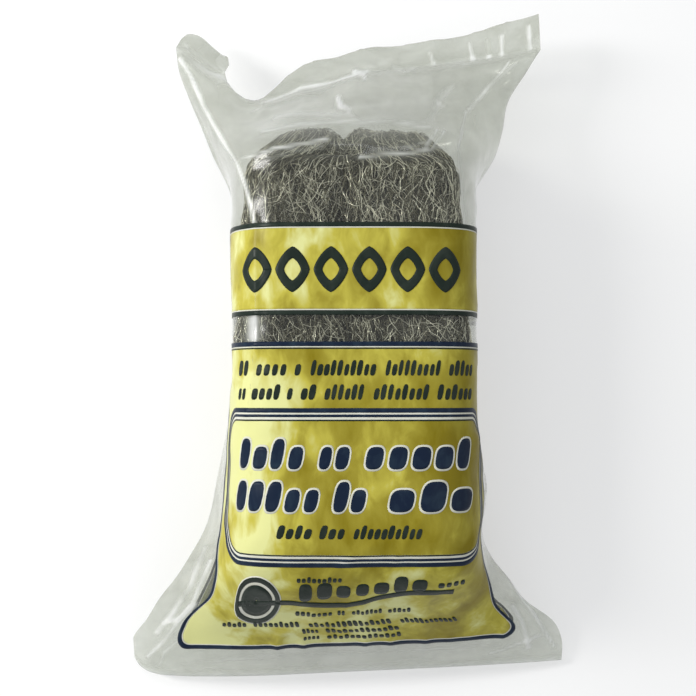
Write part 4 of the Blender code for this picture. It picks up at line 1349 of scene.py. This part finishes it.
@dataclass
class WoolHank:
    """The steel wool: a ribbon folded to and fro, a body painted dark for the shade inside the hank, below many
    curled strands.
    """

    layers: int = 3
    layer_thickness: float = 27.0
    fold_gap: float = 0.8
    width: float = 94.0
    length: float = 200.0
    centre: tuple[float, float] = (1.5, 1.0)
    floor: float = 0.42
    front_end_setback: float = 20.0
    back_end_setback: float = 14.0
    outer_edge: float = 18.0
    fold_edge: float = 11.0
    layer_edge: float = 6.0
    fold_face_depth: float = 18.0
    parting_x: float = -4.0
    parting_width: float = 9.0
    parting_depth: float = 4.0
    parting_length: float = 60.0
    lump_height: float = 3.0
    lump_spacing: float = 24.0
    lump_sway: float = 2.0
    lump_sway_spacing: float = 84.0
    core_inset: float = 3.2
    swell: float = 0.066
    swell_shift: float = 0.6
    swell_ends: tuple[float, float] = (-16.0, 32.0)
    swell_slope: float = 14.0
    taper: float = 0.27
    taper_start: float = 80.0
    taper_length: float = 19.0
    columns: int = 96
    strand_points: int = 11
    strand_pieces: int = 4
    strands_each: int = 2850
    strand_draws: int = 60000
    strand_ceiling: float = 0.7
    wild_share: float = 0.20
    thick_share: float = 0.08
    window: tuple[float, float] = (-4.0, 20.0)
    top_opening: float = 44.0
    side_shares: tuple[float, float] = (0.6, 0.16)
    front_shares: tuple[float, float] = (1.0, 0.02)
    finish: StrandFinish = field(default_factory=StrandFinish)
    shade_finish: WoolShadeFinish = field(default_factory=WoolShadeFinish)

    @property
    def top(self) -> float:
        """Height of the hank's upper face."""
        return self.floor + self.layers * self.layer_thickness + (self.layers - 1) * self.fold_gap

    def middle_line(self) -> tuple[np.ndarray, np.ndarray, np.ndarray]:
        """Side view of the ribbon's middle line: straight runs joined by half circles.

        Returns:
            Rows of y and z, the heading of each, and their distances along the line.
        """
        pitch, half = self.layer_thickness + self.fold_gap, self.layer_thickness / 2
        high_y, low_y = self.centre[1] + self.length / 2, self.centre[1] - self.length / 2
        turn_high, turn_low = high_y - half - pitch / 2, low_y + half + pitch / 2
        z = self.floor + half + pitch * np.arange(self.layers)
        turn = np.linspace(-math.pi / 2, math.pi / 2, 33)[:, None]
        arc = np.hstack([np.cos(turn), np.sin(turn)]) * pitch / 2
        start, end = low_y + self.back_end_setback, high_y - self.front_end_setback
        corners = np.vstack([[[start, z[0]]], [turn_high, z[0] + pitch / 2] + arc,
                             [turn_low, z[1] + pitch / 2] + arc * [-1, 1], [[end, z[2]]]])
        way = np.concatenate([[0.0], math.pi / 2 + turn[:, 0], math.pi / 2 - turn[:, 0], [0.0]])
        run = np.concatenate([[0.0], np.cumsum(np.linalg.norm(np.diff(corners, axis=0), axis=1))])
        near_end = np.array([0.0, 0.3, 1.0, 2.2, 4.0, 6.5, 9.5])
        between = np.linspace(13.0, run[-1] - 13.0, int(run[-1] / 2.2))
        at = np.concatenate([near_end, between, run[-1] - near_end[::-1]])
        line = np.column_stack([np.interp(at, run, corners[:, 0]), np.interp(at, run, corners[:, 1])])
        return line, np.interp(at, run, way), at

    def half_rings(self, wide: np.ndarray, thick: np.ndarray,
                   radius: np.ndarray) -> tuple[np.ndarray, np.ndarray]:
        """Upper half of each section, from left to right: a flat face between two round edges.

        Args:
            wide: Half width of each section.
            thick: Half thickness.
            radius: Radius of the edges.

        Returns:
            Places across and up, and outward directions, as rings by points by two.
        """
        wide, thick, radius = wide[:, None], thick[:, None], radius[:, None]
        turn = np.linspace(math.pi, math.pi / 2, 9)
        arc_x, arc_up = np.cos(turn)[None], np.sin(turn)[None]
        share = np.linspace(-1.0, 1.0, 33)[None, 1:-1]
        x = np.hstack([radius - wide + radius * arc_x, share * (wide - radius),
                       wide - radius - radius * arc_x[:, ::-1]])
        up = np.hstack([thick - radius + radius * arc_up, thick + 0 * share,
                        thick - radius + radius * arc_up[:, ::-1]])
        out_x = np.concatenate([arc_x[0], 0 * share[0], -arc_x[0, ::-1]])
        out_up = np.concatenate([arc_up[0], 0 * share[0] + 1, arc_up[0, ::-1]])
        out = np.stack([np.tile(out_x, (len(wide), 1)), np.tile(out_up, (len(wide), 1))], axis=-1)
        return np.stack([x, up], axis=-1), out

    def on_fold(self, y: np.ndarray) -> np.ndarray:
        """How far out a place lies on the two folded ends, from 0 to 1."""
        beyond = np.abs(y - self.centre[1]) - self.length / 2 + self.fold_face_depth
        return ease(beyond / self.fold_edge)

    def edge_radius(self, y: np.ndarray, z: np.ndarray) -> np.ndarray:
        """Radius of the ribbon's edge beside a face, larger on the outside of the hank."""
        outside = 1 - ease(np.minimum(self.top - z, z - self.floor) / self.layer_edge)
        radius = self.layer_edge + (self.fold_edge - self.layer_edge) * self.on_fold(y)
        return radius + (self.outer_edge - radius) * outside

    def lump_depth(self, x: np.ndarray, y: np.ndarray, z: np.ndarray, run: np.ndarray,
                   sideways: np.ndarray) -> np.ndarray:
        """Depth below the full form: soft lumps and a parting, only on the outside of the hank.

        The lumps are two sines, along the ribbon and round it, each swayed by a longer sine of
        the other. The parting is a bell across the hank.

        Args:
            x: Place across the hank.
            y: Place along it.
            z: Height.
            run: Distance along the ribbon.
            sideways: Share of the outward direction that points sideways.

        Returns:
            The depths.
        """
        wave, sway = 2 * math.pi / self.lump_spacing, 2 * math.pi / self.lump_sway_spacing
        around = x + z
        lumps = (2 + np.sin(wave * run + self.lump_sway * np.sin(sway * around))
                 + np.sin(wave * around + self.lump_sway * np.sin(sway * run))) / 4
        near_top = ease(1 - (self.top - z) / self.layer_edge)
        outside = np.maximum(np.maximum(near_top, self.on_fold(y)), sideways**2)
        parting_low = self.centre[1] + self.length / 2 - self.front_end_setback - self.parting_length
        parting = np.exp(-((x - self.parting_x) / self.parting_width * 2) ** 2)
        parting = parting * ease((y - parting_low) / self.lump_spacing) * (1 - sideways**2)
        return (self.lump_height * lumps + self.parting_depth * parting) * outside

    def bulge(self, y: np.ndarray) -> tuple[np.ndarray, np.ndarray]:
        """Shares, from 0 to 1, of the swell between the two panels and of the taper at the far folds."""
        low, high = self.swell_ends
        swell = ease((y - low) / self.swell_slope) * ease((high - y) / self.swell_slope)
        return swell, ease((y - self.taper_start) / self.taper_length)

    def ribbon(self, inset: float) -> tuple[np.ndarray, np.ndarray, np.ndarray]:
        """Grid of the ribbon's surface.

        Within half a thickness of a free end, the thickness follows a quarter circle.

        Args:
            inset: Distance below the outer form.

        Returns:
            Grid of points, places along and places round in millimetres.
        """
        line, heading, at = self.middle_line()
        full = self.layer_thickness / 2
        from_end = np.minimum(at, at[-1] - at)
        thick = np.sqrt(full**2 - (full - from_end).clip(0.0) ** 2)
        wide = self.width / 2 - full + thick
        normal = np.column_stack([-np.sin(heading), np.cos(heading)])
        radii = [self.edge_radius(*(line + way * full * normal).T) for way in (1, -1)]
        limit = np.minimum(1.0, 1.8 * thick / (radii[0] + radii[1]))
        upper, upper_out = self.half_rings(wide, thick, radii[0] * limit)
        lower, lower_out = self.half_rings(wide, thick, radii[1] * limit)
        flat = np.concatenate([upper, lower[:, ::-1] * [1, -1], upper[:, :1]], axis=1)
        out = np.concatenate([upper_out, lower_out[:, ::-1] * [1, -1], upper_out[:, :1]], axis=1)
        place = line[:, None] + flat[..., 1:] * normal[:, None]
        depth = self.lump_depth(flat[..., 0], place[..., 0], place[..., 1], at[:, None], out[..., 0])
        fade = ease(from_end / full)[:, None]
        flat = flat - out * ((depth + inset) * fade)[..., None]
        run = running_total(np.linalg.norm(np.diff(flat, axis=1), axis=2))
        share = np.linspace(0.0, 1.0, self.columns + 1)[None]
        across, lift = (read_rows(flat[..., k], run, share * run[:, -1:]) for k in (0, 1))
        place = line[:, None] + lift[..., None] * normal[:, None]
        swell, taper = self.bulge(place[..., 0])
        across = across * (1 + self.swell * swell - self.taper * taper) + self.swell_shift * swell
        grid = np.concatenate([self.centre[0] + across[..., None], place], axis=-1)
        return grid, at, share[0] * float(np.median(run[:, -1]))

    def build_core(self) -> bpy.types.Object:
        """Body below the strands, painted dark for the shade inside the hank, lumpy by noise along its outward
        direction.
        """
        grid, at, places = self.ribbon(self.core_inset)
        surface = GridSurface(grid, at, places)
        fade = ease(np.minimum(at, at[-1] - at) / 6.0)[:, None]
        lumps = (0.7 * lattice_noise(grid, 6.0, 21) + 0.35 * lattice_noise(grid, 2.6, 22)) * fade
        grid = (grid + surface.away * lumps[..., None])[:, :-1]
        core = make_object("wool_core", grid.reshape(-1, 3), grid_faces(*grid.shape[:2], wrap=True))
        body = bmesh.new()
        body.from_mesh(core.data)
        bmesh.ops.remove_doubles(body, verts=body.verts, dist=0.02 * MM)
        body.to_mesh(core.data)
        body.free()
        core.data.materials.append(self.shade_finish.material())
        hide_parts("steel_wool")
        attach(core, "root")
        return core

    def show(self, place: np.ndarray, away: np.ndarray) -> np.ndarray:
        """How likely a strand is kept, by what can be seen of its place through the film."""
        y, z = place[..., 1], place[..., 2]
        clear = (y > self.top_opening) | ((y > self.window[0]) & (y < self.window[1]))
        sides = np.where(clear & (z > 30.0), *self.side_shares)
        weight = np.where(np.abs(away[..., 0]) > 0.5, sides, 0.0)
        weight = np.where((z > 60.0) & (away[..., 2] > 0.3), np.where(clear, *self.front_shares), weight)
        weight = np.where((z < 8.0) & (away[..., 2] < -0.3), 0.10, weight)
        weight = np.where((y > 80.0) & (away[..., 1] + away[..., 2] > 0.3), 0.9, weight)
        weight = weight * (1 - 0.25 * np.exp(-((place[..., 0] - self.parting_x) / 5.0) ** 2) * (y > 40.0))
        return np.where((y < -88.0) & (away[..., 1] < -0.2), 0.15, weight)

    def strands(self, surface: GridSurface, seed: int) -> tuple[np.ndarray, ...]:
        """Middle lines of one piece's strands, and the direction away from the hank at each point.

        A strand starts at a random place and runs straight in the ribbon's own coordinates at an
        angle to its length, with two sines across it, while its height follows a third sine.

        Args:
            surface: The ribbon's surface.
            seed: Seed of all the draws.

        Returns:
            Lines of points, outward directions, radius of each strand and its brightness with painted shade.
        """
        rng = np.random.default_rng(seed)
        draws = self.strand_draws
        rows_end, columns_end = surface.row_places[-1], surface.column_places[-1]
        along, around = rng.uniform(0, rows_end, draws), rng.uniform(0, columns_end, draws)
        place = surface.at(around, along, 0.0)
        away = surface.at(around, along, 1.0) - place
        kept = np.flatnonzero(rng.uniform(0, 1, draws) < self.show(place, away))[:self.strands_each]
        count = len(kept)

        def draw(low: float, high: float) -> np.ndarray:
            """One number for each strand, as a column."""
            return rng.uniform(low, high, (count, 1))

        wild = rng.uniform(0, 1, count) < self.wild_share
        angle = np.where(wild, rng.uniform(-1.5, 1.5, count), rng.normal(0.0, 0.40, count))[:, None]
        length = rng.gamma(4.5, 3.5, (count, 1)).clip(6.0, 34.0)
        t = np.linspace(-0.5, 0.5, self.strand_points)[None, :]
        run = t * length
        sway = rng.normal(0.0, 2.4, (count, 1)) * 4 * t**2
        for size, wave in ((draw(0.3, 1.4), draw(9.0, 26.0)), (draw(0.05, 0.4), draw(5.0, 8.0))):
            sway = sway + size * np.sin(2 * math.pi * run / wave + draw(0.0, 6.3))
        cos, sin = np.cos(angle), np.sin(angle)
        along = (along[kept, None] + run * cos - sway * sin).clip(0.5, rows_end - 0.5)
        around = np.mod(around[kept, None] + run * sin + sway * cos, columns_end)
        base = draw(-2.3, 0.15)
        height = base + draw(0.1, 0.7) * np.sin(2 * math.pi * run / draw(10.0, 24.0) + draw(0.0, 6.3))
        height = np.minimum(height, self.strand_ceiling)
        points = surface.at(around, along, height)
        directions = surface.at(around, along, height + 1.0) - points
        points[..., 2] = np.maximum(points[..., 2], self.floor)
        radius = rng.uniform(0.10, 0.20, count)
        radius = radius * np.where(rng.uniform(0, 1, count) < self.thick_share, 1.5, 1.0)
        # Random brightness, darker as painted shade for a strand that lies deeper, with a lower base.
        tone = np.clip(rng.beta(0.7, 1.15, count) + 0.22 * (base[:, 0] + 0.8), 0.0, 1.0)
        return points, directions, radius, tone

    def tubes(self, name: str, points: np.ndarray, away: np.ndarray, radius: np.ndarray,
              tone: np.ndarray) -> bpy.types.Object:
        """Three sided tubes round the middle lines, pointed at both ends.

        A ring's points stand at a third of a turn from each other, on the outward direction and
        its cross product with the line's heading.

        Args:
            name: Name of the piece.
            points: Middle lines.
            away: Outward directions.
            radius: Radius of each strand.
            tone: Brightness of each strand, darker as painted shade for the deeper ones.

        Returns:
            The piece.
        """
        count, steps = points.shape[:2]
        heading = unit(np.gradient(points, axis=1))
        aside = unit(np.cross(heading, away))
        up = np.cross(aside, heading)
        t = np.linspace(-1.0, 1.0, steps)
        thin = radius[:, None] * (1.0 - t**6)[None, :]
        turn = np.radians([90.0, -30.0, -150.0])
        ring = (aside[:, :, None] * np.cos(turn)[:, None] + up[:, :, None] * np.sin(turn)[:, None])
        rings = points[:, 1:-1, None] + ring[:, 1:-1] * thin[:, 1:-1, None, None]
        inner = steps - 2
        verts = np.concatenate([points[:, :1], rings.reshape(count, inner * 3, 3), points[:, -1:]], axis=1)
        each = inner * 3 + 2
        k = np.arange(3)
        near, after = 1 + k, 1 + (k + 1) % 3
        starts = 3 * np.arange(inner - 1)[:, None]
        sides = np.stack([near + starts, after + starts, after + starts + 3, near + starts + 3], axis=-1)
        sides = sides.reshape(-1, 4)
        low_cap = np.stack([np.zeros(3, int), after, near], axis=-1)
        last = 3 * (inner - 1)
        high_cap = np.stack([near + last, after + last, np.full(3, each - 1)], axis=-1)
        shift = (np.arange(count) * each)[:, None, None]
        quads = (sides[None] + shift).reshape(-1, 4)
        caps = np.concatenate([(cap[None] + shift).reshape(-1, 3) for cap in (low_cap, high_cap)])
        piece = make_object(name, verts.reshape(-1, 3), quads.tolist() + caps.tolist())
        add_values(piece, "tone", np.repeat(tone, each))
        return piece

    def build(self) -> None:
        """Make the body and the strands."""
        core = self.build_core()
        LOG.info("%s: %d faces", core.name, len(core.data.polygons))
        surface = GridSurface(*self.ribbon(0.0))
        material = self.finish.material()
        for number in range(self.strand_pieces):
            piece = self.tubes(f"wool_strands_{number + 1}", *self.strands(surface, 100 + number))
            piece.data.materials.append(material)
            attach(piece, "root")
            LOG.info("%s: %d faces", piece.name, len(piece.data.polygons))


@dataclass(frozen=True)
class SoftLight:
    """Soft rectangular light: its middle and its size in metres, its power in watts and its colour."""

    name: str
    place: tuple[float, float, float]
    size: tuple[float, float]
    power: float
    colour: tuple[float, float, float]


@dataclass
class Studio:
    """Plain pale floor, a soft key light from the left, a top light, a weak fill from the right, and camera."""

    view: Viewpoint
    floor_half: float = 4.0
    floor_colour: tuple = (0.55, 0.55, 0.55, 1.0)
    camera_glow: float = 0.45
    world_light: float = 0.50
    world_colour: tuple = (0.95, 0.975, 1.0, 1.0)
    floor_drop: float = 0.0001
    aim: tuple[float, float, float] = (0.0, 0.0, 0.04)
    lights: tuple[SoftLight, ...] = (
        SoftLight("key", (-0.75, 0.20, 0.62), (0.18, 0.42), 7.0, (1.0, 0.99, 0.96)),
        SoftLight("top", (-0.15, 0.75, 1.1), (0.9, 0.25), 2.4, (0.96, 0.98, 1.0)),
        SoftLight("fill", (1.0, -0.2, 0.9), (0.6, 0.8), 0.8, (0.97, 0.98, 1.0)))

    def build_floor(self) -> None:
        """Wide floor that keeps the pack's shadow and looks white to the camera."""
        half = self.floor_half
        mesh = bpy.data.meshes.new("floor")
        corners = [(-half, -half, 0), (half, -half, 0), (half, half, 0), (-half, half, 0)]
        mesh.from_pydata(corners, [], [(0, 1, 2, 3)])
        floor = bpy.data.objects.new("floor", mesh)
        floor.location.z = -self.floor_drop
        bpy.context.scene.collection.objects.link(floor)
        graph = NodeGraph("floor_paper")
        path = graph.add("LightPath")
        diffuse = graph.add("BsdfDiffuse", {"Color": self.floor_colour})
        seen = graph.math("ADD", (path, "Is Camera Ray"), graph.math(
            "ADD", (path, "Is Glossy Ray"), (path, "Is Transmission Ray")), clamp=True)
        glow = graph.add("Emission", {"Color": (1.0, 1.0, 1.0, 1.0),
                                      "Strength": graph.math("MULTIPLY", seen, self.camera_glow)})
        floor.data.materials.append(graph.finish(graph.add("AddShader", {0: diffuse, 1: glow})))

    def build_world(self) -> None:
        """Even pale surroundings, plain white where the camera sees them."""
        world = bpy.data.worlds.new("surroundings")
        world.use_nodes = True
        bpy.context.scene.world = world
        tree = world.node_tree
        background = tree.nodes["Background"]
        background.inputs["Color"].default_value = self.world_colour
        path = tree.nodes.new("ShaderNodeLightPath")
        sums = [tree.nodes.new("ShaderNodeMath") for _ in range(2)]
        tree.links.new(path.outputs["Is Camera Ray"], sums[0].inputs[0])
        tree.links.new(path.outputs["Is Glossy Ray"], sums[0].inputs[1])
        tree.links.new(sums[0].outputs[0], sums[1].inputs[0])
        tree.links.new(path.outputs["Is Transmission Ray"], sums[1].inputs[1])
        strength = tree.nodes.new("ShaderNodeMapRange")
        strength.inputs["To Min"].default_value = self.world_light
        strength.inputs["To Max"].default_value = 1.0
        tree.links.new(sums[1].outputs[0], strength.inputs["Value"])
        tree.links.new(strength.outputs["Result"], background.inputs["Strength"])

    def add_light(self, light: SoftLight) -> None:
        """Add one light, turned to face the aim."""
        data = bpy.data.lights.new(light.name, "AREA")
        data.shape = "RECTANGLE"
        data.size, data.size_y = light.size
        data.energy = light.power
        data.color = light.colour
        lamp = bpy.data.objects.new(light.name, data)
        lamp.location = light.place
        way = np.subtract(self.aim, light.place)
        yaw = math.atan2(-way[0], way[1])
        lamp.rotation_euler = (math.acos(-way[2] / np.linalg.norm(way)), 0.0, yaw)
        bpy.context.scene.collection.objects.link(lamp)

    def build(self) -> None:
        """Make the floor, the surroundings, the lights and the camera."""
        self.build_floor()
        self.build_world()
        for light in self.lights:
            self.add_light(light)
        self.view.make_camera()
        bpy.context.scene.view_settings.view_transform = "Standard"


def main() -> None:
    """Build the bag, its printing, the wool and the studio."""
    logging.basicConfig(level=logging.INFO, format="%(name)s %(message)s")
    view = Viewpoint()
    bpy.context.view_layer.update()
    film, grid = FilmBag(FilmForm(), view).build()
    LOG.info("%s: %d faces", film.name, len(film.data.polygons))
    Printing(FilmForm(), grid).build()
    WoolHank().build()
    Studio(view).build()


if __name__ == "__main__":
    main()
